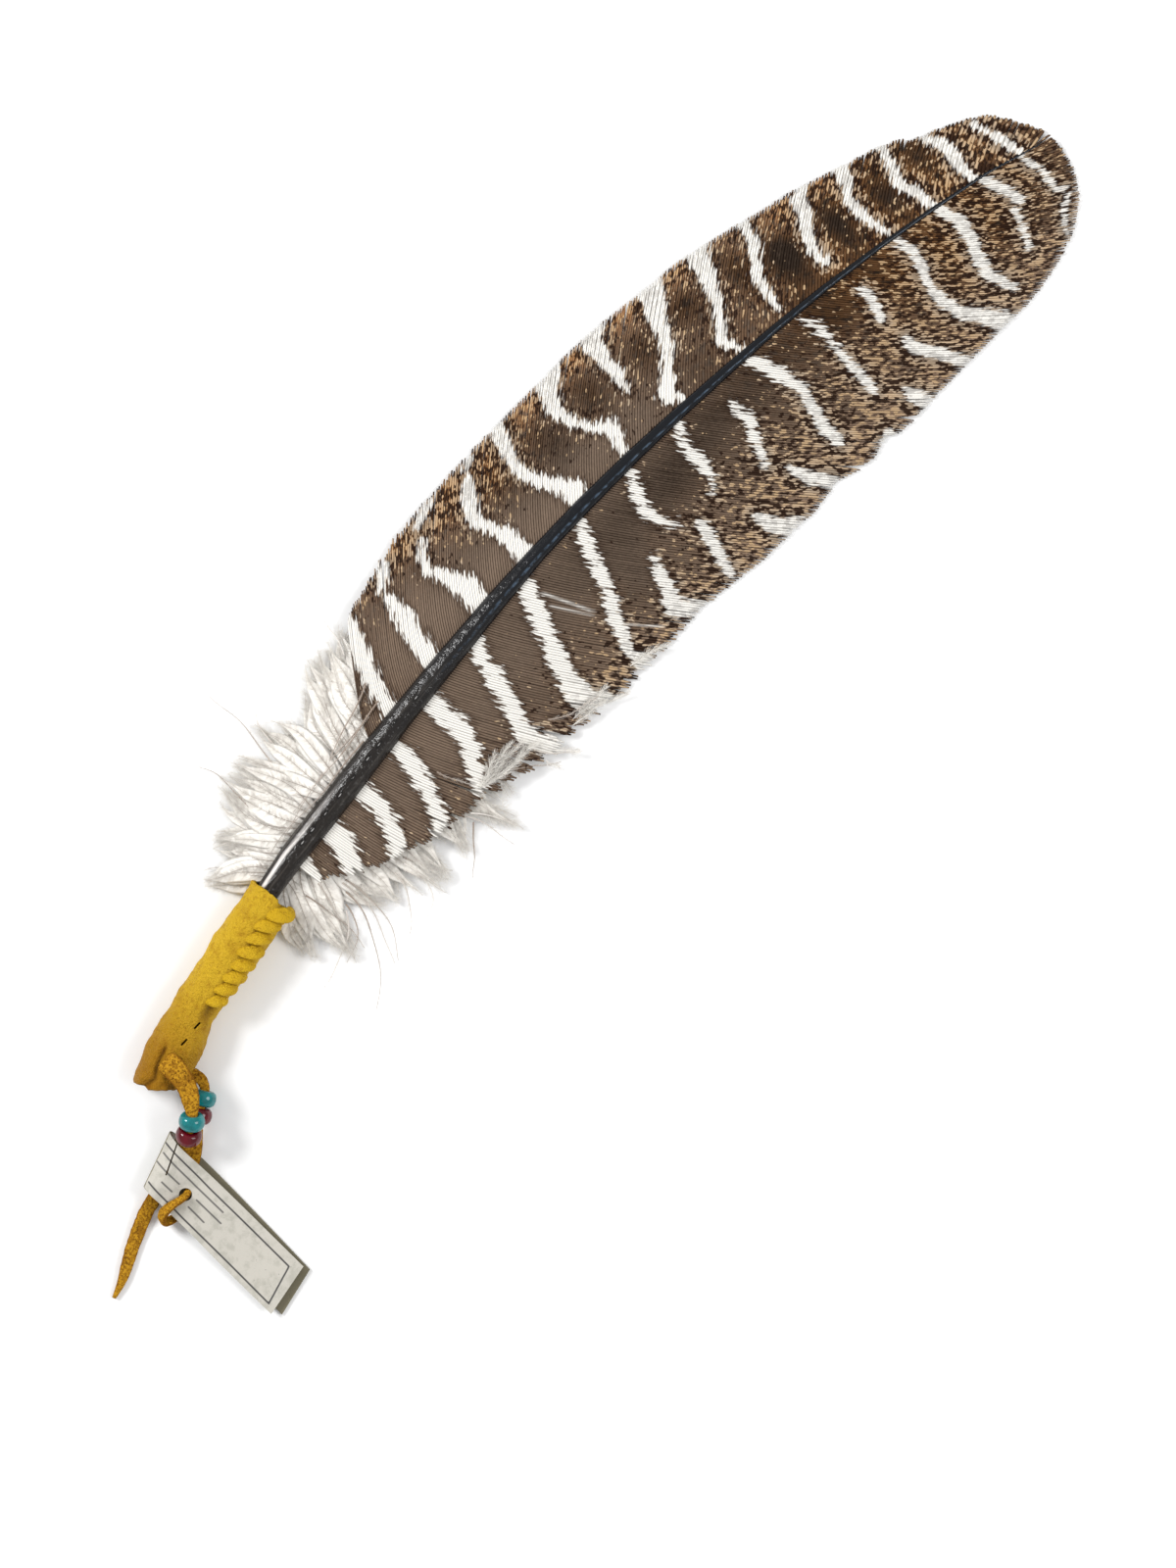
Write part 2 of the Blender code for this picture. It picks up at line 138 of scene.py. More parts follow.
# Pale bars from edge to shaft on the wide vane: x, y, half width.
WIDE_BARS = (
    ((-19, 291, 0.7), (-15, 292, 0.7), (-12, 293, 0.9), (-7, 293.8, 0.9)),
    ((-25, 281, 1.0), (-21, 282.8, 1.3), (-18, 282.8, 1.5), (-14, 281.8, 1.1), (-9.5, 281.8, 1.0)),
    ((-30.5, 272.5, 1.0), (-26, 271, 1.0), (-22, 269, 1.1), (-18, 270.2, 1.0), (-12, 270.5, 0.9)),
    ((-35, 263, 1.8), (-31.5, 261.5, 1.5), (-28, 258.8, 1.0), (-24, 257.6, 1.1), (-20, 258, 0.9),
     (-16, 259, 0.5)),
    ((-37.5, 254, 1.0), (-36, 250.5, 1.5), (-32.5, 248.8, 1.5), (-28, 245.4, 1.3), (-24, 244, 0.9),
     (-21.5, 244, 0.6)),
    ((-41, 237.8, 1.2), (-37.5, 236.6, 1.1), (-34, 234, 1.2), (-30.5, 231, 1.0), (-26, 229.5, 0.9),
     (-22, 229, 0.5)),
    ((-45, 226, 2.9), (-41, 224, 2.1), (-37, 222, 1.4), (-33, 220, 1.2), (-29.5, 217.5, 1.1),
     (-25.5, 214, 0.9), (-20.5, 216.5, 0.5)),
    ((-47, 212, 3.2), (-42.5, 209.5, 2.4), (-38, 207, 1.5), (-34, 205, 1.2), (-30, 200.7, 0.9),
     (-26.3, 196.8, 2.0), (-23.5, 198.3, 0.7)),
    ((-49, 197, 1.6), (-47.4, 193.5, 2.5), (-43, 192.8, 1.6), (-37, 192, 1.2), (-34, 191, 0.6)),
    ((-49.2, 183, 1.6), (-47, 178.7, 2.3), (-43, 176.6, 1.6), (-38, 176.9, 0.9), (-33, 179.2, 0.8),
     (-31, 182.2, 1.7), (-28, 181.8, 1.2), (-24, 180, 0.8)),
    ((-49.3, 164.5, 1.8), (-45, 162.2, 1.6), (-40, 160.6, 1.1), (-35, 161.4, 1.1), (-30, 163.7, 1.5),
     (-26.5, 165.6, 2.6), (-23.6, 165, 2.0)),
    ((-49, 155, 0.6), (-48.2, 151.5, 0.7)),
    ((-46, 151.3, 0.8), (-42, 147.6, 1.7), (-38, 145.2, 1.3), (-33, 146.6, 1.2), (-29, 148, 1.6),
     (-23.6, 147.2, 2.2)),
    ((-48.6, 141, 0.7), (-47.4, 137.5, 1.0), (-46.6, 134.8, 0.6)),
    ((-43.6, 133.4, 0.6), (-41, 131, 0.9), (-38, 129.3, 1.1), (-34, 131.3, 1.8), (-29, 132.8, 2.3),
     (-23, 132.2, 2.5)),
    ((-46, 123.6, 1.0), (-44, 121, 0.9), (-42.4, 118.6, 0.5)),
    ((-39, 118.6, 1.3), (-34, 117.6, 1.9), (-29, 116.4, 2.0), (-22, 114.9, 2.1)),
    ((-44, 107.6, 2.0), (-39, 106.4, 2.1), (-34, 104.2, 2.0), (-29, 102, 1.9), (-21, 100.2, 1.7)),
)
# The same from shaft to edge on the narrow vane.
NARROW_BARS = (
    ((-6, 293.2, 0.5), (0, 294.4, 0.5), (5, 293.6, 0.5), (7, 295, 0.4)),
    ((8, 295, 0.2), (10, 291, 0.5), (14, 288, 0.3)),
    ((-8.5, 283.3, 0.9), (-4, 284.9, 1.1), (1, 286, 0.9)),
    ((2, 283.2, 0.6), (6, 281.6, 0.8), (10, 279.6, 0.6)),
    ((-10.8, 271, 0.8), (-6, 272.6, 1.5), (-1, 271.4, 1.3), (4, 269.2, 1.4), (8, 268.4, 1.2),
     (14, 270.6, 0.6)),
    ((-13, 259, 0.6), (-8, 259.7, 0.9), (-4, 258.4, 1.0), (0, 256.8, 0.9), (5, 256.6, 1.2),
     (9, 257.6, 1.4), (13, 260.4, 1.6), (18.5, 263.5, 2.4)),
    ((-11, 245, 0.7), (-8, 245.4, 1.0), (-3, 243.6, 0.6)),
    ((4.5, 244.3, 1.0), (8, 244.6, 1.4), (12, 247.4, 1.1), (17.8, 250.5, 1.2)),
    ((-16.2, 230.6, 0.6), (-12, 232, 0.9), (-8, 231.9, 0.6), (0, 231, 0.9), (7, 231, 0.8)),
    ((12.5, 236.2, 0.9), (15, 236.4, 1.4), (18.6, 238, 1.3)),
    ((16.8, 226, 1.2), (18, 222, 0.4)),
    ((-18, 215, 0.9), (-15, 216.8, 1.2), (-10, 218.3, 1.4), (-5, 219.2, 1.0), (0, 218, 1.0),
     (5, 216.6, 1.3), (9.5, 216.6, 1.2)),
    ((-13, 205.4, 0.7), (-9, 206, 1.1), (-5, 203.6, 1.0), (1, 201, 0.7)),
    ((6, 204.4, 0.6), (10, 205.6, 1.1), (15.5, 209.4, 1.3)),
    ((-19.6, 193.6, 0.9), (-16, 191.2, 1.0), (-12, 190.5, 1.3), (-7, 190.8, 1.0), (-3, 188, 0.5)),
    ((8, 191.4, 0.8), (12, 191.8, 1.5), (16.5, 195.8, 2.4)),
    ((-20, 178, 0.8), (-16, 176, 1.2), (-11, 173.6, 1.2), (-7, 174.8, 1.0), (-4, 177, 0.5)),
    ((0, 180.8, 1.0), (4, 180, 1.3), (8, 178.6, 1.3), (13, 177.4, 0.8)),
    ((-2, 167.4, 0.6), (4, 165.4, 1.7), (9, 162.8, 1.9), (13.6, 167.5, 1.4)),
    ((-20, 161.4, 1.2), (-15, 158.8, 1.3), (-10, 157, 1.5), (-5, 155, 1.3), (0, 152, 1.6),
     (4, 150.4, 1.3), (9, 148.2, 0.7), (12.5, 149, 2.3)),
    ((-19.2, 142.6, 1.5), (-15, 140.8, 2.1), (-10, 138.6, 1.6), (-4, 136.6, 1.9), (2, 134, 2.1),
     (6, 133.2, 2.6), (9, 133.4, 2.4), (12.5, 136.5, 1.6)),
    ((-17.8, 125.4, 1.4), (-14, 123.3, 1.4), (-10, 122.6, 2.0), (-5, 121.2, 1.8), (0, 119.5, 1.6),
     (4, 118, 2.0), (8, 118.6, 2.2), (12, 121.6, 1.6)),
    ((-16.6, 108.6, 2.0), (-12, 108.4, 2.0), (-7, 108.9, 1.8), (-3, 107.2, 1.8), (1, 104.6, 1.8),
     (5.5, 102.2, 1.4)),
    ((-15.2, 95.3, 1.4), (-11, 95, 1.7), (-6, 94, 1.7), (-1, 92.2, 1.7), (3, 90.6, 1.9),
     (7.5, 87.5, 2.0)),
    ((-13.6, 82.4, 1.7), (-9, 82.8, 1.9), (-4, 81.8, 1.9), (0, 79.6, 1.8), (3, 77.5, 1.6)),
    ((-12.6, 71, 2.4), (-9, 70.6, 2.6), (-4, 69.2, 2.4), (-1, 67.6, 1.8), (2, 66, 1.4)),
    ((-11, 60, 2.6), (-8, 58.8, 2.4), (-4, 57, 1.6)),
)

# Down barbs: place on the shaft, then x and y of the tip.
WIDE_DOWN = (
    (52.5, -19, 46), (55, -23, 44.5), (59, -28, 47), (63, -32, 52), (67, -37, 58),
    (71, -40.5, 64), (75, -43, 71), (79, -42, 78), (83, -42, 85), (87, -45, 93),
    (91, -47, 100), (94, -46.5, 105), (97, -43, 109),
)
NARROW_DOWN = (
    (53, -2, 47), (55, 5, 44.5), (58, 11, 47), (62, 13, 53), (66, 13, 60), (70, 15, 66),
    (74, 16, 72), (78, 15, 79), (82, 15, 85), (86, 15, 91), (90, 18, 96), (94, 18.5, 100),
    (99, 14, 105), (103, 11, 110),
)
# Long loose filaments: start, middle and end in x, y, then height at the end and tone.
WISPS = (
    ((-30, 72), (-44, 75), (-54.2, 73.8), 1.2, 0.7),
    ((-36, 76), (-41, 76), (-43.5, 78), 1.2, 0.5),
    ((-27, 61), (-38, 63), (-44.6, 60.4), 1.0, 0.9),
    ((-20, 53), (-25, 55), (-29.6, 52.2), 1.0, 0.8),
    ((-17, 53), (-23, 50), (-27, 43.6), 0.6, 0.2),
    ((-16, 53), (-20, 51), (-20.4, 47.6), 0.8, 0.6),
    ((-38, 102), (-43, 104.5), (-47.2, 104.2), 1.5, 0.3),
    ((4, 93), (13, 98), (20.4, 97.6), 1.5, 0.6),
    ((8, 96), (14, 101), (19.6, 101.8), 1.5, 0.3),
    ((10, 95), (15, 90), (19, 85.8), 1.0, 0.9),
    ((4, 78), (10, 80), (14.4, 83.4), 1.0, 0.8),
    ((5, 77), (15, 80), (17.6, 72), 1.0, 0.2),
    ((6, 76), (12, 78), (17, 79), 1.0, 0.3),
    ((5, 74), (12, 74), (17.3, 66), 1.0, 0.5),
    ((-2, 65), (10, 68), (19.8, 60.4), 1.0, 0.7),
    ((-2, 64), (9, 66), (19.6, 58.4), 1.0, 0.5),
    ((0, 63), (12, 64), (24, 48.4), 0.8, 0.8),
    ((2, 61), (10, 60), (11.6, 51.4), 0.8, 0.8),
    ((3, 60), (10, 56), (11.4, 43.4), 0.6, 0.4),
    ((-6, 56), (2, 58), (12, 57), 1.2, 0.7),
    ((-8, 55), (-3, 53), (-1.2, 47.4), 1.0, 0.7),
    ((-6, 60), (4, 58), (12.2, 53), 1.0, 0.5),
    ((-4, 97.6), (0, 98.6), (4, 101.4), 6.2, 1.0),
    ((-25, 100), (-22.6, 84), (-19.6, 62), 5.6, 1.0),
    ((-30, 101), (-25, 90), (-21, 68), 5.0, 1.0),
    ((-21, 91), (-20, 78), (-18.6, 58), 5.6, 1.0),
    ((-24, 96), (-24, 86), (-22, 73), 5.0, 0.9),
    ((9, 117), (13, 119), (16.6, 124.5), 1.6, 0.4),
    ((8, 110), (11, 114), (15, 119), 1.6, 0.9),
    ((6, 124), (9, 127), (10.6, 136), 3.0, 0.9),
)
# Tufts of loose white barbs lying over the vane: root x, y, tip x, y.
TUFTS = (
    ((5.6, 101.5), (3.8, 114.5)), ((5.8, 102), (5.0, 117)), ((6, 103), (6.6, 115.5)),
    ((6.2, 103), (8.0, 119)), ((5.6, 104), (2.6, 110)), ((10, 128), (10.6, 139)),
    ((11, 127), (12.4, 137)), ((12, 120), (16.4, 124)), ((12, 117), (15.4, 118)),
    ((11, 146), (13.8, 156)), ((13, 136), (15, 141.5)),
)

# ------------------------------------------------------------ the handle and its laces

# Sections of the leather from the shaft's end to the open end: its left and right x, y.
WRAP_RINGS = (
    ((-17.0, 50.3), (-5.4, 51.4)), ((-14.4, 33.0), (-3.1, 34.0)), ((-11.7, 19.5), (-1.3, 20.5)),
    ((-10.1, 12.5), (2.2, 13.5)), ((-8.6, 6.0), (3.6, 7.4)), ((-6.6, 0.6), (3.6, 4.6)),
    ((-4.6, -2.8), (3.3, 2.6)),
)
WRAP_HALF_HEIGHT = 4.6
WRAP_AXIS_HEIGHT = 4.57
# Slits that the lace is threaded through: x, y, width, length.
WRAP_SLITS = ((-2.6, 6.8, 0.9, 4.6), (-2.6, 12.7, 0.45, 2.0), (-3.1, 17.5, 0.45, 2.0))
# Whip stitches: y, degrees round the handle from its right side, size.
STITCHES = (
    (49.0, 50, 1.15), (45.2, 60, 1.05), (41.6, 60, 1.0), (38.2, 54, 1.05), (34.8, 50, 1.0),
    (31.4, 50, 1.0), (28.0, 50, 0.95), (24.6, 50, 0.9),
)
STITCH_SWING = 24
STITCH_RISE = 1.75

# The laces' routes: x, y, height, width, thickness.
LACE_FRONT = (
    (-2.7, 6.8, 8.4, 4.8, 1.0), (-2.2, 6.8, 9.9, 5.4, 1.3), (0.5, 6.8, 10.4, 5.4, 1.4),
    (3.0, 6.5, 10.5, 5.0, 1.4), (5.5, 5.7, 10.5, 4.6, 1.4), (7.6, 4.4, 10.4, 4.2, 1.4),
    (9.4, 2.9, 10.1, 3.3, 1.5), (11.3, 0.9, 9.5, 2.0, 1.6), (13.0, -2.1, 7.4, 2.0, 1.6),
    (14.3, -5.0, 4.7, 2.9, 1.4), (15.4, -8.2, 2.9, 3.4, 1.3), (16.2, -11.5, 2.0, 3.5, 1.3),
    (16.8, -15.0, 1.8, 3.5, 1.3), (17.3, -18.5, 1.6, 3.5, 1.3), (18.3, -22.5, 1.2, 3.4, 1.3),
    (19.8, -26.5, 0.9, 3.4, 1.3), (21.6, -30.5, 0.8, 3.2, 1.3), (23.7, -34.5, 0.8, 2.8, 1.3),
    (25.4, -38.2, 0.75, 1.9, 1.2), (26.6, -41.8, 0.6, 0.9, 0.8),
)
LACE_BACK = (
    (3.4, 8.6, 3.3, 2.4, 1.3), (4.9, 8.7, 3.4, 2.6, 1.3), (6.1, 8.8, 3.3, 2.6, 1.3),
    (7.3, 8.4, 3.2, 2.4, 1.3), (8.4, 7.6, 3.15, 2.1, 1.5), (9.4, 6.0, 3.1, 2.0, 1.6),
    (11.4, 2.5, 3.1, 2.0, 1.6), (13.4, -0.6, 2.3, 3.0, 1.4), (15.6, -3.4, 1.6, 3.6, 1.3),
    (17.5, -6.0, 1.5, 3.4, 1.3), (19.4, -8.4, 1.5, 3.0, 1.3), (21.2, -10.4, 2.2, 2.4, 1.3),
    (22.0, -12.3, 4.0, 1.7, 1.2), (22.0, -13.8, 5.7, 1.7, 1.2), (21.5, -16.0, 6.0, 2.0, 1.2),
    (21.2, -18.0, 5.8, 2.4, 1.3), (21.4, -19.8, 4.8, 2.7, 1.3), (22.3, -20.9, 3.3, 2.7, 1.3),
    (23.3, -20.2, 2.0, 2.4, 1.3), (24.0, -18.2, 1.6, 2.0, 1.2),
)
BEAD_LENGTH = 3.7
BEAD_BORE = 1.25
BEAD_LIP = 0.25
BEAD_COUNTERSINK = 0.82
BEAD_ROUNDNESS = 0.72
BEAD_RIB = 0.006
BEAD_STEPS = 16
BEAD_SIDES = 56
# Each bead: node, slot, route, index of its point on that route.
BEADS = (
    ("bead_turquoise_front", "turquoise_bead", LACE_FRONT, 7),
    ("bead_red_front", "red_bead", LACE_FRONT, 8),
    ("bead_turquoise_back", "turquoise_bead", LACE_BACK, 5),
    ("bead_red_back", "red_bead", LACE_BACK, 6),
)

# The folded tag, from the back layer's free end round the fold to the front layer's:
# x at its top edge, y of its top edge, height, x at its lower edge, y of its lower edge.
TAG = (
    (54.6, -5.6, 0.35, 57.2, -17.6), (40.0, -5.0, 0.3, 42.4, -17.4), (25.0, -4.5, 0.3, 27.6, -17.2),
    (14.0, -4.4, 0.3, 17.6, -17.4), (10.6, -4.5, 1.0, 14.9, -17.8), (9.3, -4.8, 3.0, 13.8, -18.0),
    (10.4, -5.2, 5.2, 14.2, -18.1), (13.2, -5.5, 6.6, 16.4, -18.2), (16.5, -5.6, 5.7, 19.4, -18.2),
    (20.5, -5.6, 4.2, 23.0, -18.3), (27.0, -5.6, 3.4, 29.4, -18.5), (38.0, -5.8, 2.3, 40.4, -18.9),
    (53.0, -6.0, 1.9, 55.3, -19.1),
)
# The hole's middle and radius, and the slit's two ends and width.
TAG_HOLE = (21.9, -12.7, 1.5)
TAG_SLIT = ((12.2, -5.0), (15.6, -12.4))
TAG_SLIT_WIDTH = 0.34

# ------------------------------------------------------------------------- the stage

VIEW_LEAN = math.radians(44.0)
VIEW_CENTRE = (22.9, 119.7)
VIEW_HEIGHT = 0.3624
CAMERA_HEIGHT = 1.25
SENSOR = 36.0
FLOOR_HALF = 3.0
FLOOR_DROP = 0.0002
# The two lights: name, place from the middle of the view, size.
LIGHTS = (("key", (-0.88, -0.32, 0.74), 0.42), ("fill", (0.85, 0.75, 1.15), 0.9))


def to_row(points):
    """Millimetres of the layout as metres of the row frame."""
    return (np.asarray(points, dtype=float) + LAYOUT_SHIFT) * MM


def column(table, y, index):
    """One column of a table whose first column rises, read at y."""
    rows = np.array(table, dtype=float)
    return np.interp(y, rows[:, 0], rows[:, index])


def smooth_table(points, count):
    """count rows evenly spaced along a Catmull-Rom curve through the points."""
    rows = np.array(points, dtype=float)
    rows = np.vstack([2 * rows[0] - rows[1], rows, 2 * rows[-1] - rows[-2]])
    dense = []
    for a, b, c, d in zip(rows, rows[1:], rows[2:], rows[3:]):
        t = np.linspace(0, 1, 24, endpoint=False)[:, None]
        dense.append(
            b + 0.5 * t * ((c - a) + t * ((2 * a - 5 * b + 4 * c - d) + t * (3 * b - a - 3 * c + d)))
        )
    dense = np.vstack(dense + [rows[-2:-1]])
    steps = np.linalg.norm(np.diff(dense[:, :3], axis=0), axis=1)
    travelled = np.concatenate([[0.0], np.cumsum(steps)])
    wanted = np.linspace(0.0, travelled[-1], count)
    return np.stack([np.interp(wanted, travelled, col) for col in dense.T], axis=1)


def unit(vectors):
    return vectors / np.maximum(np.linalg.norm(vectors, axis=-1, keepdims=True), 1e-9)


def bell(value, width=1.0):
    """1 at zero, falling smoothly to nothing a few widths away."""
    return np.exp(-((value / width) ** 2))


def ramp(value, low, high):
    """0 below low and 1 above high, straight between."""
    return np.clip((value - low) / (high - low), 0, 1)


def ripple(points, size, seed):
    """A smooth wavy value from -1 to 1 for points in millimetres, made of a few sine waves."""
    rng = np.random.default_rng(seed)
    total = np.zeros(points.shape[:-1])
    for octave in range(5):
        direction = unit(rng.normal(size=3)) * (2 * math.pi / size) * 1.7**octave
        total += np.sin(points @ direction + rng.uniform(0, 6.28)) / 1.5**octave
    return total / 2.2


# --------------------------------------------------------------------- mesh helpers


def linked(name, mesh):
    obj = bpy.data.objects.new(name, mesh)
    bpy.context.scene.collection.objects.link(obj)
    return obj


def mesh_from(bm, name):
    mesh = bpy.data.meshes.new(name)
    bm.to_mesh(mesh)
    bm.free()
    return mesh


def tube_mesh(name, sides, lengths, caps=True):
    """A prism along Z, one unit long and one in radius, cut into rings."""
    bm = bmesh.new()
    bmesh.ops.create_cone(
        bm, cap_ends=caps, segments=sides, radius1=1.0, radius2=1.0, depth=1.0
    )
    if lengths > 1:
        long_edges = [e for e in bm.edges if abs(e.verts[0].co.z - e.verts[1].co.z) > 0.5]
        bmesh.ops.subdivide_edges(bm, edges=long_edges, cuts=lengths - 1, use_grid_fill=True)
    return mesh_from(bm, name)


def ring_numbers(corners, lengths):
    """Which ring of the prism each of its points is on, counted from its lower end."""
    return np.rint((corners[:, 2] + 0.5) * lengths).astype(int)


def copied_mesh(mesh, count):
    """The mesh repeated count times as one joined mesh, copy after copy."""
    helper = linked(mesh.name, mesh)
    array = helper.modifiers.new("copies", "ARRAY")
    array.count = count
    array.use_relative_offset = False
    array.use_constant_offset = True
    array.constant_offset_displace = (0.0, 0.0, 2.0)
    joined = evaluated_mesh(helper)
    bpy.data.objects.remove(helper, do_unlink=True)
    joined.name = mesh.name
    return joined


def cut_shell(name, sheet, thickness, offset, tools):
    """The sheet with its thickness, and with the shape of each tool cut out of it."""
    helpers = [linked(name, sheet)]
    wall = helpers[0].modifiers.new("wall", "SOLIDIFY")
    wall.thickness = thickness
    wall.offset = offset
    for tool in tools:
        helpers.append(linked("cutter", mesh_from(tool, "cutter")))
        cut = helpers[0].modifiers.new("cut", "BOOLEAN")
        cut.operation = "DIFFERENCE"
        cut.solver = "EXACT"
        cut.object = helpers[-1]
    mesh = evaluated_mesh(helpers[0])
    mesh.name = name
    for helper in helpers:
        bpy.data.objects.remove(helper, do_unlink=True)
    return mesh


def evaluated_mesh(obj):
    """The object's mesh with its modifiers applied."""
    graph = bpy.context.evaluated_depsgraph_get()
    graph.update()
    return bpy.data.meshes.new_from_object(obj.evaluated_get(graph))


def local_points(mesh):
    points = np.empty(len(mesh.vertices) * 3)
    mesh.vertices.foreach_get("co", points)
    return points.reshape(-1, 3)


def move_points(mesh, points):
    mesh.vertices.foreach_set("co", np.asarray(points, dtype=np.float32).ravel())
    mesh.update()


def add_vector(mesh, name, *columns):
    """Stores up to three values for each point, which materials read by name."""
    stored = np.zeros((len(mesh.vertices), 3), dtype=np.float32)
    for axis, values in enumerate(columns):
        stored[:, axis] = np.ravel(values)
    layer = mesh.attributes.new(name, "FLOAT_VECTOR", "POINT")
    layer.data.foreach_set("vector", stored.ravel())


def add_bake_uv(mesh, plan, lower=None):
    """Lays the piece out flat: plan holds u, v from 0 to 1 for each point, and the faces
    marked in lower go to the right half of the map."""
    loops = np.empty(len(mesh.loops), dtype=np.int32)
    mesh.loops.foreach_get("vertex_index", loops)
    uv = np.asarray(plan)[loops]
    if lower is not None:
        uv[:, 0] *= 0.5
        totals = np.empty(len(mesh.polygons), dtype=np.int32)
        mesh.polygons.foreach_get("loop_total", totals)
        uv[np.repeat(lower, totals), 0] += 0.5
    layer = mesh.uv_layers.new(name="OFBake")
    layer.data.foreach_set("uv", np.clip(uv, 0.001, 0.999).astype(np.float32).ravel())


def plan_of(points, low, high):
    """u, v of points in millimetres inside a rectangle of the layout."""
    span = np.array(high, dtype=float) - np.array(low, dtype=float)
    return (points[:, :2] - np.array(low)) / span


def smooth_shaded(mesh):
    mesh.polygons.foreach_set("use_smooth", np.ones(len(mesh.polygons), dtype=bool))
    mesh.update()


def tube_frames(path, first_side):
    """Side and upper directions along a path, carried along it without twisting."""
    ahead = unit(np.gradient(path, axis=0))
    sides = []
    side = np.array(first_side, dtype=float)
    for step in ahead:
        side = unit(side - step * float(side @ step))
        sides.append(side)
    sides = np.array(sides)
    return sides, np.cross(ahead, sides)


def add_piece(name, mesh, material, node, slot):
    """Links a finished piece with its material, rides it on the only body and hides the CAD part it stands
    in for.
    """
    obj = linked(name, mesh)
    obj.data.materials.clear()
    obj.data.materials.append(material)
    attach(obj, "root")
    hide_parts(node)
    return obj


# ------------------------------------------------------------------- material helper


class Finish:
    """One material whose nodes are added and linked in reading order."""

    def __init__(self, name, roughness, specular=0.5):
        self.material = bpy.data.materials.new(name)
        self.material.use_nodes = True
        self.tree = self.material.node_tree
        self.shader = self.tree.nodes["Principled BSDF"]
        self.shader.inputs["Roughness"].default_value = roughness
        self.shader.inputs["Specular IOR Level"].default_value = specular

    def feed(self, socket, value):
        if isinstance(value, bpy.types.NodeSocket):
            self.tree.links.new(value, socket)
        elif socket.type == "RGBA" and len(value) == 3:
            socket.default_value = (*value, 1.0)
        else:
            socket.default_value = value

    def add(self, kind, inputs, output=0, **settings):
        node = self.tree.nodes.new(kind)
        for key, value in settings.items():
            setattr(node, key, value)
        for key, value in inputs.items():
            self.feed(node.inputs[key], value)
        return node.outputs[output]

    def calc(self, operation, first, second=0.0, clamp=False):
        return self.add(
            "ShaderNodeMath", {0: first, 1: second}, operation=operation, use_clamp=clamp
        )

    def plus(self, first, second, clamp=False):
        return self.calc("ADD", first, second, clamp)

    def less(self, first, second, clamp=False):
        return self.calc("SUBTRACT", first, second, clamp)

    def times(self, first, second, clamp=False):
        return self.calc("MULTIPLY", first, second, clamp)

    def swung(self, value, wave, amount, clamp=False):
        """The value with amount of a wave added, which swings about a half."""
        return self.plus(value, self.times(self.less(wave, 0.5), amount), clamp)

    def mix(self, share, first, second):
        inputs = {0: share, 6: first, 7: second}
        return self.add("ShaderNodeMix", inputs, 2, data_type="RGBA")

    def stained(self, colour, share, strength, stain):
        """The colour with the stain laid over it as far as share times strength goes."""
        return self.mix(self.times(share, strength), colour, stain)

    def step(self, value, low, high):
        """0 below low and 1 above high, with a soft change between."""
        inputs = {"Value": value, "From Min": low, "From Max": high}
        return self.add("ShaderNodeMapRange", inputs, interpolation_type="SMOOTHSTEP")

    def fade(self, value, low, high):
        """1 below low and 0 above high, with a soft change between."""
        return self.less(1.0, self.step(value, low, high))

    def band(self, value, middle, low, high):
        """1 closer than low to the middle value and 0 farther away than high."""
        return self.fade(self.calc("ABSOLUTE", self.less(value, middle)), low, high)

    def noise(self, vector, scale, detail=2.0, roughness=0.5):
        inputs = {"Vector": vector, "Scale": scale, "Detail": detail, "Roughness": roughness}
        return self.add("ShaderNodeTexNoise", inputs)

    def stored(self, name):
        """x, y and z of a vector stored on the mesh."""
        node = self.tree.nodes.new("ShaderNodeAttribute")
        node.attribute_name = name
        return self.split(node.outputs["Vector"])

    def split(self, vector):
        node = self.tree.nodes.new("ShaderNodeSeparateXYZ")
        self.tree.links.new(vector, node.inputs[0])
        return node.outputs[0], node.outputs[1], node.outputs[2]

    def join(self, x, y, z=0.0):
        return self.add("ShaderNodeCombineXYZ", {0: x, 1: y, 2: z})

    def place(self):
        """The point's own place in millimetres."""
        node = self.tree.nodes.new("ShaderNodeTexCoord")
        inputs = {0: node.outputs["Object"], "Scale": 1.0 / MM}
        return self.add("ShaderNodeVectorMath", inputs, operation="SCALE")

    def bump(self, height, distance, strength=1.0):
        inputs = {"Height": height, "Distance": distance * MM, "Strength": strength}
        self.feed(self.shader.inputs["Normal"], self.add("ShaderNodeBump", inputs))

    def colour(self, value):
        self.feed(self.shader.inputs["Base Color"], value)

    def roughness(self, value):
        self.feed(self.shader.inputs["Roughness"], value)


# ---------------------------------------------------------------------- the settings


def colour_property(name, description, value):
    return bpy.props.FloatVectorProperty(
        name=name, description=description, subtype="COLOR", size=3, min=0.0, max=1.0, default=value
    )


def length_property(name, description, value):
    return bpy.props.FloatProperty(
        name=name, description=description, unit="LENGTH", default=value * MM, min=0.0, precision=5
    )


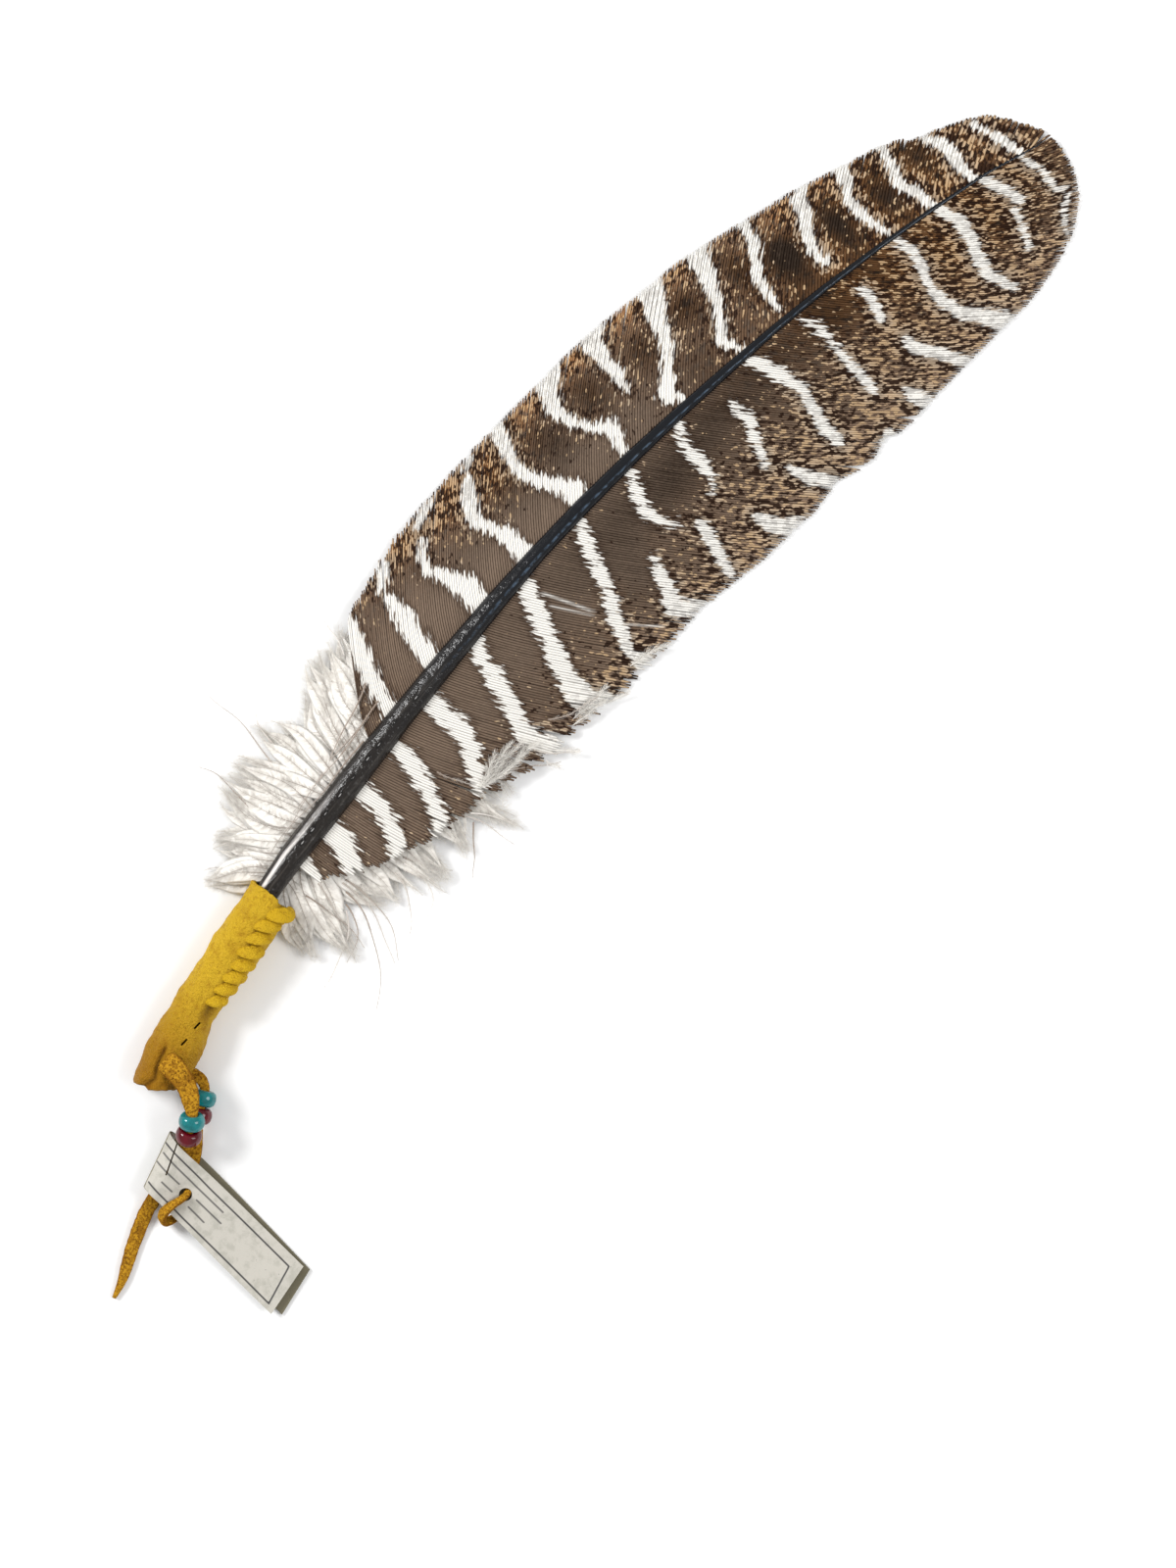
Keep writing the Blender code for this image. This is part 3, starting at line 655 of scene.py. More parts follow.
class FeatherSettings(bpy.types.PropertyGroup):
    """Sizes and colours of the shaft and the vanes."""

    barb_spacing: length_property("Barb spacing", "Distance between two barbs", 0.54)
    barb_ridge: length_property("Barb ridge", "Height of a barb's ridge over its sides", 0.13)
    ground_dark: colour_property("Dark ground", "Darkest brown between the bars", (0.022, 0.0135, 0.0085))
    ground_light: colour_property("Light ground", "Palest brown between the bars", (0.235, 0.168, 0.122))
    # Dark fleck is also the colour of the painted shade along the barbs' edges and in the dark creases.
    fleck_and_shade_dark: colour_property("Dark fleck", "Dark specks of the mottling", (0.020, 0.008, 0.004))
    fleck_light: colour_property("Buff fleck", "Pale specks of the mottling", (0.53, 0.37, 0.215))
    rufous: colour_property("Rufous", "Orange brown near the edges", (0.37, 0.165, 0.055))
    rufous_light: colour_property("Pale rufous", "Paler orange between the specks", (0.62, 0.37, 0.17))
    bar: colour_property("Bar", "Off-white of the bars", (0.85, 0.825, 0.775))
    shaft: colour_property("Shaft", "Blue-black of the shaft", (0.0045, 0.0055, 0.008))
    shaft_base: colour_property("Shaft base", "Grey brown of the bare quill", (0.017, 0.014, 0.012))
    seed: bpy.props.IntProperty(name="Seed", description="Changes the barbs' small differences", default=11)


class DownSettings(bpy.types.PropertyGroup):
    """The fluffy base of the feather."""

    barb_count: bpy.props.IntProperty(
        name="Down barbs", description="Down barbs on each side of the shaft", default=74, min=1
    )
    barbule_spacing: length_property("Barbule spacing", "Distance between two barbules", 0.168)
    barbule_length: length_property("Barbule length", "Length of a barbule near the shaft", 3.4)
    white: colour_property("Down white", "Off-white of the down", (0.95, 0.925, 0.875))
    grey: colour_property("Down grey", "Grey brown of the down's shafts", (0.30, 0.235, 0.19))


class HandleSettings(bpy.types.PropertyGroup):
    """The leather handle and the lace over its seam."""

    wall: length_property("Leather", "Thickness of the leather", 1.0)
    yellow: colour_property("Buckskin yellow", "Colour of the leather", (0.60, 0.375, 0.018))
    # This ochre also gives the painted shade in the leather's creases.
    ochre_and_crease_shade: colour_property("Worn ochre", "Darker leather at the open end", (0.27, 0.105, 0.002))
    lace_yellow: colour_property("Lace yellow", "Colour of the whipped lace", (0.60, 0.37, 0.012))


class LaceSettings(bpy.types.PropertyGroup):
    """The two hanging ends of lace and their beads."""

    tan: colour_property("Suede tan", "Colour of the lace", (0.50, 0.255, 0.018))
    brown: colour_property("Suede brown", "Darker nap of the lace", (0.17, 0.062, 0.006))
    bead_radius: length_property("Bead radius", "Radius of a bead", 3.05)
    turquoise: colour_property("Turquoise", "Colour of two beads", (0.008, 0.205, 0.215))
    red: colour_property("Dark red", "Colour of two beads", (0.12, 0.001, 0.008))


class TagSettings(bpy.types.PropertyGroup):
    """The folded card tag."""

    thickness: length_property("Card", "Thickness of the card", 0.28)
    card: colour_property("Card white", "Colour of the card", (0.52, 0.495, 0.44))
    # Painted shade: the back layer and the card's edges, which take no print, get this colour for the shade
    # under the front layer.
    back_layer_shade: colour_property("Card back", "Colour of the card's cut edges and inside", (0.14, 0.12, 0.065))
    ink: colour_property("Ink", "Colour of the ruled lines", (0.03, 0.03, 0.035))


class StageSettings(bpy.types.PropertyGroup):
    """The floor and the lights."""

    floor: colour_property("Floor", "Colour of the pale floor", (0.93, 0.93, 0.93))
    key_power: bpy.props.FloatProperty(name="Key", description="Power of the key light", default=11.0)
    fill_power: bpy.props.FloatProperty(name="Fill", description="Power of the fill light", default=13.0)
    sky: bpy.props.FloatProperty(name="Sky", description="Strength of the even light", default=0.55)


SETTINGS = {
    "feather_settings": FeatherSettings,
    "down_settings": DownSettings,
    "handle_settings": HandleSettings,
    "lace_settings": LaceSettings,
    "tag_settings": TagSettings,
    "stage_settings": StageSettings,
}

# ------------------------------------------------------------------------ the vanes

# Soft patches of tone: x, y, reach across and along, then what they add to the ground's
# lightness, its mottling and its orange.
GROUND_TONE = (0.48, 0.42, 0.06)
TONE_PATCHES = (
    (-25, 264, 16, 36, -0.42, 0.56, 0.40),
    (-25, 277, 6.5, 4.0, -0.50, -0.90, -0.45),
    (-22, 265, 7, 4.0, -0.50, -0.90, -0.45),
    (-25, 252.5, 7.5, 4.0, -0.50, -0.90, -0.45),
    (-29, 239, 7.5, 4.5, -0.50, -0.85, -0.40),
    (-35, 229, 6, 3.5, -0.42, -0.45, -0.10),
    (-38, 214, 6, 4.5, -0.42, -0.35, 0.00),
    (-25, 206, 6, 6, -0.20, -0.20, 0.00),
    (-38, 200, 7, 5, -0.42, -0.35, 0.00),
    (-40, 184.5, 8, 4.5, -0.42, -0.38, 0.00),
    (-39, 170, 9, 5.5, -0.32, -0.30, -0.05),
    (-41, 155, 6, 5, -0.34, -0.05, 0.00),
    (-48.5, 185, 3.5, 26, 0.55, 0.55, 0.75),
    (-45.5, 222, 3.5, 20, 0.55, 0.55, 0.75),
    (-37, 256, 3.5, 18, 0.50, 0.55, 0.75),
    (-28, 284, 5, 10, 0.10, 0.55, 0.30),
    (-47, 132, 4, 24, -0.22, 0.80, 0.42),
    (-44, 152, 5, 14, -0.15, 0.60, 0.35),
    (-27, 150, 6, 32, 0.30, -0.46, -0.15),
    (-28, 185, 6, 18, 0.14, -0.15, -0.05),
    (-36, 192, 10, 40, 0.00, 0.22, 0.05),
    (-14, 205, 7, 48, -0.26, -0.30, -0.05),
    (-10, 183, 6, 6, -0.12, -0.20, 0.00),
    (-2, 163, 9, 5, -0.06, -0.30, -0.05),
    (-3, 272, 14, 32, -0.42, 0.58, 0.20),
    (-9, 264, 6, 4, -0.30, -0.35, -0.05),
    (-12, 250, 6, 5, -0.30, -0.35, -0.05),
    (-14, 236, 7, 5, -0.30, -0.35, -0.05),
    (15, 262, 5, 36, 0.50, 0.55, 0.06),
    (14, 190, 6, 42, 0.50, 0.55, 0.04),
    (3, 212, 9, 40, 0.12, 0.50, 0.00),
    (11, 140, 5, 24, 0.26, 0.50, 0.00),
    (-8, 95, 14, 44, 0.30, -0.44, -0.06),
    (-32, 118, 10, 18, 0.30, -0.38, -0.02),
    (-12, 150, 7, 40, 0.02, -0.30, -0.05),
)
# Creases painted on the flat vane as light and shade: their two ends, half width and how much paler
# (painted highlight) or darker (painted shade) they are.
CREASES = (
    ((-15, 144), (-4, 149), 0.22, 0.8),
    ((-12, 143), (-3, 148.5), 0.18, 0.6),
    ((2, 151), (10, 158), 0.22, 0.7),
    ((6, 155), (10, 160), 0.25, -0.7),
    ((-4, 97.5), (4, 101.5), 0.3, -0.9),
    ((0, 111), (4, 114), 0.25, -0.8),
    ((5, 124), (9, 129), 0.3, -0.8),
    ((-20, 92), (-36, 101), 0.8, -0.6),
    ((-36, 101), (-43, 105), 0.9, -0.6),
)
BARB_RINGS = 40
BARB_STEP = 0.4
BARB_OVERLAP = 1.20
# More steps than the longest barb needs.
BARB_STEPS = 300
BARB_ROOT = 0.25
STEEPEST = 0.4
# Random breaks between the barbs: fewest and most barbs from one to the next, the smallest
# gap and what chance adds, where along the barb it begins, and how many barbs share it.
BREAK_BARBS = (4, 18)
BREAK_GAP = (0.10, 0.22)
BREAK_BEGIN = (0.45, 0.9)
BREAK_REACH = 7.0
# Half a barb's width, its share left at the very tip, and the length that it narrows over.
BARB_HALF = (0.13, 0.62)
BARB_TIP = 0.35
BARB_TAPER = 0.05
BARB_LIFT = 0.018
VANE_WAVE = 0.16
VANE_LOWEST = 0.22
VANES = (
    ("vane_wide", -1, WIDE_EDGE, WIDE_FAN, WIDE_SPLITS, WIDE_FRAY, WIDE_BARS),
    ("vane_narrow", 1, NARROW_EDGE, NARROW_FAN, NARROW_SPLITS, NARROW_FRAY, NARROW_BARS),
)


def line_distance(points, ends, widths=None):
    """Distance from each point to the nearest of a line's pieces, less its half width."""
    ends = np.array(ends, dtype=float)
    widths = np.zeros(len(ends)) if widths is None else widths
    best = np.full(len(points), FAR_AWAY)
    for start, end, wide, narrow in zip(ends[:-1], ends[1:], widths[:-1], widths[1:]):
        run = end - start
        share = np.clip((points - start) @ run / (run @ run), 0.0, 1.0)
        away = np.linalg.norm(points - start - share[:, None] * run, axis=1)
        best = np.minimum(best, away - (wide + share * (narrow - wide)))
    return best


def bar_distance(points, bars):
    """Distance to the nearest pale bar, below zero inside one."""
    best = np.full(len(points), FAR_AWAY)
    for bar in bars:
        rows = np.array(bar, dtype=float)
        best = np.minimum(best, line_distance(points, rows[:, :2], rows[:, 2]))
    return best


def crease_light_and_shade(points):
    """How much paler each point is from a crease's painted highlight, or darker, below zero, from its
    painted shade.
    """
    value = np.zeros(len(points))
    for start, end, half_width, strength in CREASES:
        value += strength * bell(line_distance(points, (start, end)), half_width)
    return value


def patch_tones(points):
    """Ground lightness, mottling and orange of each point."""
    tones = np.tile(np.array(GROUND_TONE), (len(points), 1))
    for x, y, reach_x, reach_y, *added in TONE_PATCHES:
        apart = ((points[:, 0] - x) / reach_x) ** 2 + ((points[:, 1] - y) / reach_y) ** 2
        tones += np.exp(-apart)[:, None] * np.array(added)
    return np.clip(tones, 0.0, 1.0)


def share_across(points, edge):
    """How far each place is from the shaft (0) to the vane's edge (1)."""
    shaft = column(SHAFT, points[..., 1], 1)
    rim = column(edge, points[..., 1], 1)
    return np.clip((points[..., 0] - shaft) / (rim - shaft), 0.0, 1.0)


def vane_heights(points, edge):
    rim = column(edge, points[..., 1], 2)
    middle = column(SHAFT, points[..., 1], 2) + VANE_ROOT_RISE * column(SHAFT, points[..., 1], 3)
    return rim + (middle - rim) * (1.0 - share_across(points, edge) ** VANE_CAMBER)


def barb_paths(side, edge, fan, fray, spacing, rng):
    """The plan of every barb of one vane: BARB_RINGS + 1 places each, from shaft to edge."""
    starts = [float(fan[0][0])]
    while starts[-1] < fan[-1][0]:
        lean = 0.5 * (column(fan, starts[-1], 1) + column(fan, starts[-1], 2))
        starts.append(starts[-1] + spacing / max(math.cos(math.radians(lean)), STEEPEST))
    starts = np.array(starts)
    low, high = column(fan, starts, 1), column(fan, starts, 2)
    roots = column(SHAFT, starts, 1) + side * BARB_ROOT * column(SHAFT, starts, 3)
    places = np.stack([roots, starts], axis=1)
    track = [places]
    counts = np.zeros(len(starts))
    for _ in range(BARB_STEPS):
        share = share_across(places, edge)
        lean = np.radians(low + (high - low) * share * (2.0 - share))
        places = places + BARB_STEP * np.stack([side * np.cos(lean), np.sin(lean)], axis=1)
        rim = column(edge, places[:, 1], 1)
        inside = (side * (rim - places[:, 0]) > 0) & (places[:, 1] < VANE_TOP)
        counts += inside & (counts == len(track) - 1)
        track.append(places)
    track = np.array(track)
    frayed = np.abs(rng.normal(size=len(starts))) * column(fray, starts, 1)
    counts = np.maximum(counts + 1 - frayed / BARB_STEP, 4)
    wanted = np.linspace(0.0, 1.0, BARB_RINGS + 1)[None, :] * counts[:, None]
    lower = np.floor(wanted).astype(int)
    share = (wanted - lower)[..., None]
    index = np.arange(len(starts))[:, None]
    upper = np.minimum(lower + 1, len(track) - 1)
    return track[lower, index] * (1 - share) + track[upper, index] * share, starts


def barb_clumps(starts, splits, rng):
    """How far each barb is pushed along the shaft by the breaks between the barbs."""
    breaks = []
    place = 0
    while place < len(starts) - 3:
        place += int(rng.integers(*BREAK_BARBS))
        gap = BREAK_GAP[0] + BREAK_GAP[1] * rng.random() ** 3
        breaks.append((place, gap, rng.uniform(*BREAK_BEGIN)))
    for where, gap, begin in splits:
        breaks.append((int(np.searchsorted(starts, where)), gap, begin))
    share = np.linspace(0.0, 1.0, BARB_RINGS + 1)[None, :]
    pushed = np.zeros((len(starts), BARB_RINGS + 1))
    number = np.arange(len(starts))[:, None]
    for place, gap, begin in breaks:
        behind = number < place
        apart = np.where(behind, place - 1 - number, number - place)
        grown = np.clip((share - begin) / (1.02 - begin), 0.0, 1.0) ** 1.3
        pushed += np.where(behind, -0.5, 0.5) * gap * np.exp(-apart / BREAK_REACH) * grown
    return pushed


def vane_mesh(name, side, edge, fan, splits, fray, bars, settings):
    """One vane: a four-sided strip for each barb, and what its pattern is read from."""
    rng = np.random.default_rng(settings.seed + side)
    ridge = settings.barb_ridge / MM
    paths, starts = barb_paths(side, edge, fan, fray, settings.barb_spacing / MM, rng)
    count = len(starts)
    ahead = unit(np.gradient(paths, axis=1))
    leftward = np.stack([-ahead[..., 1], ahead[..., 0]], axis=-1)
    gaps = np.abs(np.sum(np.diff(paths, axis=0) * leftward[:-1], axis=-1))
    gaps = np.vstack([gaps[:1], gaps, gaps[-1:]])
    half = np.clip(0.25 * (gaps[1:] + gaps[:-1]) * BARB_OVERLAP, *BARB_HALF)
    share = np.linspace(0.0, 1.0, BARB_RINGS + 1)
    half = half * np.clip((1.0 - share) / BARB_TAPER, BARB_TIP, 1.0)[None, :] ** 0.7
    pushed = barb_clumps(starts, splits, rng) + 0.05 * rng.normal(size=(count, 1)) * share
    places = paths + side * leftward * pushed[..., None]
    steps = np.linalg.norm(np.diff(paths, axis=1), axis=2)
    along = np.hstack([np.zeros((count, 1)), np.cumsum(steps, axis=1)])
    deep = np.concatenate([places, np.zeros((count, BARB_RINGS + 1, 1))], axis=2)
    uneven = VANE_WAVE * ripple(deep, 26.0, 3) + BARB_LIFT * rng.normal(size=(count, 1))
    heights = np.maximum(vane_heights(places, edge) + share * uneven, VANE_LOWEST)

    strip = tube_mesh(name, 4, BARB_RINGS)
    corners = local_points(strip)
    ring = ring_numbers(corners, BARB_RINGS)
    over, up = corners[:, 0], corners[:, 1]
    mesh = copied_mesh(strip, count)
    aside = leftward[:, ring] * (over * half[:, ring])[..., None]
    lift = np.where(up > 0.5, ridge, np.where(up < -0.5, -0.7 * ridge, 0.0))
    rise = heights[:, ring] + lift * (half[:, ring] / 0.3) + 0.05 * over
    points = np.concatenate([places[:, ring] + aside, rise[..., None]], axis=2).reshape(-1, 3)
    move_points(mesh, to_row(points))

    flat = (paths[:, ring] + aside).reshape(-1, 2)
    lightness, mottling, orange = patch_tones(flat).T
    number = np.arange(count)[:, None] + 0.5 * over
    chance = np.repeat(rng.random((count, 1)), len(ring), axis=1)
    add_vector(mesh, "barb", along[:, ring], number)
    add_vector(mesh, "tone", bar_distance(flat, bars), mottling, orange)
    # The ground's lightness, a chance for each barb, and the creases' painted light and shade.
    add_vector(mesh, "ground_and_crease_light", lightness, chance, crease_light_and_shade(flat))
    faces = np.empty(len(mesh.polygons) * 3)
    mesh.polygons.foreach_get("normal", faces)
    add_bake_uv(mesh, plan_of(points, (-52, 50), (20, 303)), faces.reshape(-1, 3)[:, 2] < 0)
    smooth_shaded(mesh)
    return mesh


# Noise along the barbs: length in millimetres, width in barbs, offset and detail.
TEETH_GRAIN = (4.4, 1.0, 1.3, 3.0)
CLOUD_GRAIN = (14.0, 22.0, 4.7, 3.0)
SPECK_GRAIN = (1.0, 0.8, 9.1, 2.0)
RUFOUS_GRAIN = (2.6, 2.0, 12.9, 2.0)
WORM_GRAIN = (1.7, 1.5, 17.7, 1.0)
# How far the noise moves a bar's edge, and how much less it does where the ground is mottled.
BAR_TEETH = 7.8
MOTTLED_TEETH = 3.6
# Distances from a bar's edge over which its white, its dark rim and its halo come and go.
BAR_EDGE = (-0.2, 0.5)
RIM_START = (0.0, 0.4)
RIM_END = (0.7, 2.4)
HALO = (0.2, 4.2)
# The share of the noise that makes pale or dark worms, what mottling adds, and their softness.
WORM_SHARE = 0.225
WORM_GROWTH = 0.275
WORM_SOFTNESS = 0.03


def vane_material(settings):
    """Brown ground mottled along the barbs, with ragged off-white bars, painted shade along each barb's two
    edges and creases painted as light and shade.
    """
    finish = Finish("barred_vane", 0.6, 0.08)
    along, number, _ = finish.stored("barb")
    bar, mottling, orange = finish.stored("tone")
    ground, chance, crease = finish.stored("ground_and_crease_light")

    def grain(length, width, offset, detail):
        x, y = finish.times(along, 1.0 / length), finish.times(number, 1.0 / width)
        return finish.noise(finish.join(x, y, offset), 1.0, detail, 0.6)

    teeth = finish.less(BAR_TEETH, finish.times(mottling, MOTTLED_TEETH))
    ragged = finish.swung(bar, grain(*TEETH_GRAIN), teeth)
    clouds = grain(*CLOUD_GRAIN)
    lightness = finish.swung(finish.swung(ground, clouds, 0.35), chance, 0.12)
    lightness = finish.swung(lightness, grain(*SPECK_GRAIN), 0.5, clamp=True)
    colour = finish.mix(lightness, settings.ground_dark, settings.ground_light)

    halo = finish.fade(ragged, *HALO)
    warmth = finish.plus(orange, finish.times(halo, finish.times(mottling, 0.12)))
    tint = finish.step(grain(*RUFOUS_GRAIN), 0.32, 0.54)
    colour = finish.stained(colour, warmth, tint, settings.rufous)

    worm = grain(*WORM_GRAIN)
    mottled = finish.times(mottling, finish.plus(0.72, finish.times(halo, 0.65)), clamp=True)
    spread = finish.times(finish.calc("POWER", mottled, 0.62), WORM_GROWTH)
    low = finish.plus(WORM_SHARE, spread)
    high = finish.less(1.0 - WORM_SHARE, spread)
    pale = finish.fade(worm, finish.less(low, WORM_SOFTNESS), low)
    dark = finish.step(worm, high, finish.plus(high, WORM_SOFTNESS))
    buff = finish.stained(settings.fleck_light, halo, 0.3, settings.bar)
    buff = finish.stained(buff, orange, 0.8, settings.rufous_light)
    colour = finish.stained(colour, pale, 0.9, buff)
    colour = finish.stained(colour, dark, 0.92, settings.fleck_and_shade_dark)

    rim = finish.times(finish.step(ragged, *RIM_START), finish.fade(ragged, *RIM_END))
    colour = finish.stained(colour, rim, 0.45, settings.fleck_and_shade_dark)
    # groove is painted shade along each barb's two edges, where it meets the next barb; it is laid on
    # twice.
    groove = finish.times(finish.calc("PINGPONG", number, 0.5), 2.0)
    groove = finish.calc("POWER", groove, 2.0)
    colour = finish.stained(colour, groove, 0.45, settings.fleck_and_shade_dark)
    worn = finish.less(1.0, finish.times(finish.times(dark, mottling), 0.3), clamp=True)
    colour = finish.stained(colour, finish.fade(ragged, *BAR_EDGE), worn, settings.bar)
    # Creases painted as light and shade: towards the bar white as a painted highlight above zero, darker as
    # painted shade below zero.
    colour = finish.mix(finish.calc("MAXIMUM", crease, 0.0), colour, settings.bar)
    colour = finish.stained(colour, finish.calc("MINIMUM", crease, 0.0), -0.8, settings.fleck_and_shade_dark)
    colour = finish.stained(colour, groove, 0.12, settings.fleck_and_shade_dark)
    finish.colour(colour)
    finish.roughness(finish.plus(0.5, finish.times(clouds, 0.22)))
    return finish.material


# ------------------------------------------------------------------------- the shaft

SHAFT_PITS = (
    (-17.8, 93.0), (-17.5, 88.7), (-17.0, 83.2), (-16.3, 78.3), (-15.6, 73.0), (-15.2, 68.3),
    (-14.9, 64.5), (-17.7, 60.5), (-18.9, 99.0), (-19.3, 106.5), (-16.4, 66.0),
)
# Radians round the shaft from its right side where two long highlights lie.
SILVER_HIGHLIGHT_ANGLE = 2.12
BLUE_SHEEN_ANGLE = 1.25
# Places along the shaft between which the bare quill ends, the painted silvery highlight ends and the
# painted blue sheen begins.
BARE_END = (70.0, 165.0)
SILVER_HIGHLIGHT_END = (62.0, 84.0)
BLUE_SHEEN_START = (105.0, 150.0)
SCUFF_PALE = (0.09, 0.08, 0.07)
SCUFF_DARK = (0.012, 0.009, 0.008)
# Painted shade round the pits and painted glints in them.
PIT_SHADE = (0.004, 0.004, 0.004)
PIT_GLINT = (0.42, 0.41, 0.40)
SILVER_HIGHLIGHT = (0.66, 0.62, 0.59)
SHEEN_BLUE = (0.055, 0.085, 0.125)
PIT_DEPTH = 0.3
PIT_HALF = (0.42, 1.3)
SHAFT_SIDES = 32
SHAFT_RINGS = 560
SHAFT_ENDS = (5.0, 299.2)
SHAFT_ROUGH = 0.018
# The groove underneath and the flat beside the top: place round the shaft, width, depth.
SHAFT_GROOVE = (-math.pi / 2, 0.32, 0.10)
SHAFT_FLAT = (1.95, 0.16, 0.06)


def shaft_mesh():
    mesh = tube_mesh("shaft", SHAFT_SIDES, SHAFT_RINGS)
    corners = local_points(mesh)
    y = np.linspace(*SHAFT_ENDS, SHAFT_RINGS + 1)[ring_numbers(corners, SHAFT_RINGS)]
    # The prism's own X, Y and Z become across, up and along.
    over, up = -corners[:, 0], corners[:, 1]
    around = np.arctan2(up, over)
    half = 0.5 * column(SHAFT, y, 3)
    bent = np.stack([over * half, y, up * half], axis=1)
    half = half * (1 + SHAFT_ROUGH * ripple(bent * (1.0, 0.12, 1.0), 2.6, 5) * (half > 0.8))
    angle, width, depth = SHAFT_GROOVE
    groove = depth * bell(around - angle, width)
    angle, width, depth = SHAFT_FLAT
    flat = depth * bell(around - angle, width) * ramp(y, 60, 120)
    half = half * (1 - groove - flat)
    x = column(SHAFT, y, 1) + over * half
    z = column(SHAFT, y, 2) + np.where(up > 0, 0.98, 0.92) * up * half
    pits = np.zeros(len(y))
    for pit_x, pit_y in SHAFT_PITS:
        apart = ((x - pit_x) / PIT_HALF[0]) ** 2 + ((y - pit_y) / PIT_HALF[1]) ** 2
        pits = np.maximum(pits, np.exp(-apart) * (up > 0))
    move_points(mesh, to_row(np.stack([x, y, z - PIT_DEPTH * pits], axis=1)))
    add_vector(mesh, "shaft", y, around, pits)
    add_bake_uv(mesh, np.stack([around / (2 * math.pi) + 0.5, y / 303.0], axis=1))
    smooth_shaded(mesh)
    return mesh


def shaft_material(settings):
    """Glossy blue-black horn that turns grey and scuffed towards the handle, with highlights painted into
    its colour: a silvery streak near the handle, a blue sheen further up and glints in the pits, which also
    have painted shade round them.
    """
    finish = Finish("shaft_horn", 0.3, 0.32)
    along, around, pit = finish.stored("shaft")

    def grain(across, lengthwise, offset, detail, roughness):
        x, y = finish.times(around, across), finish.times(along, lengthwise)
        return finish.noise(finish.join(x, y, offset), 1.0, detail, roughness)

    streaks = grain(3.2, 0.05, 0.0, 4, 0.65)
    scuffs = grain(2.4, 0.5, 4.0, 3, 0.6)
    bare = finish.fade(along, *BARE_END)
    colour = finish.mix(bare, settings.shaft, settings.shaft_base)
    pale = finish.step(streaks, 0.52, 0.70)
    colour = finish.stained(colour, pale, finish.times(bare, 0.55), SCUFF_PALE)
    dark = finish.times(finish.step(streaks, 0.48, 0.30), bare)
    colour = finish.stained(colour, dark, 0.7, SCUFF_DARK)
    # Painted shade round each pit's sloping side, and a painted highlight glint at its bottom.
    rim = finish.less(finish.step(pit, 0.25, 0.55), finish.step(pit, 0.60, 0.80))
    colour = finish.stained(colour, rim, 0.8, PIT_SHADE)
    colour = finish.stained(colour, finish.step(pit, 0.72, 0.90), 0.9, PIT_GLINT)
    # Painted highlight: a silvery streak along the bare quill's left side.
    silver_highlight = finish.times(
        finish.band(around, SILVER_HIGHLIGHT_ANGLE, 0.05, 0.30), finish.fade(along, *SILVER_HIGHLIGHT_END)
    )
    streaked = finish.plus(0.45, finish.step(streaks, 0.42, 0.60), clamp=True)
    colour = finish.stained(colour, silver_highlight, streaked, SILVER_HIGHLIGHT)
    # Painted highlight: a blue sheen along the shaft further up.
    blue = finish.times(finish.band(around, BLUE_SHEEN_ANGLE, 0.04, 0.22), finish.step(along, *BLUE_SHEEN_START))
    blue = finish.times(blue, finish.step(scuffs, 0.40, 0.62))
    colour = finish.stained(colour, blue, 0.9, SHEEN_BLUE)
    finish.colour(colour)
    finish.roughness(finish.plus(0.05, finish.times(scuffs, 0.22)))
    finish.bump(finish.times(scuffs, finish.plus(0.25, bare)), 0.35, 1.0)
    return finish.material


# -------------------------------------------------------------------------- the down

RAMUS_RINGS = 20
# Tones run from 0 for white to 1 for grey brown; near the shaft all hairs are duskier.
TONE_WHITE = 0.03
DUSKY = 0.42
DUSKY_REACH = 7.5
LOWEST_HAIR = 0.12
# Hairs: radius, the share of it left at the tip, sides.
BARBULE_HAIR = (0.027, 0.4, 3)
RAMUS_HAIR = (0.08, 0.3, 5)
TUFT_FLUFF_HAIR = (0.035, 0.4, 3)
TUFT_SHAFT_HAIR = (0.10, 0.25, 5)
STRAY_SHAFT_HAIR = (0.20, 0.3, 5)
STRAY_FLUFF_HAIR = (0.03, 0.4, 3)
# Degrees between a barbule and its ramus.
DOWN_SPREAD = (30, 78)
TUFT_SPREAD = (12, 45)
STRAY_SPREAD = (20, 60)
TUFT_SPACING = 0.12
STRAY_SPACING = 0.4
# Heights of a tuft's root, middle and tip over the vane.
TUFT_RISES = (0.2, 1.3, 1.0)
# The web of flat blades: narrowest and widest, drop below the rami, flatness.
WEB_WIDTH = (1.7, 2.9)
WEB_DROP = 0.35
WEB_FLAT = 0.1


def curved_paths(roots, mids, tips, rings):
    """Quadratic curves from root to tip, rings + 1 points each."""
    t = np.linspace(0.0, 1.0, rings + 1)[None, :, None]
    roots, mids, tips = roots[:, None], mids[:, None], tips[:, None]
    paths = (1 - t) ** 2 * roots + 2 * t * (1 - t) * mids + t**2 * tips
    run = (tips - roots)[:, :, :2]
    across = np.stack([-run[..., 1], run[..., 0]], axis=-1)
    phase = 2.4 * np.arange(len(roots))[:, None, None]
    paths[..., :2] += 0.022 * across * t * np.sin(9.0 * t + phase)
    return paths


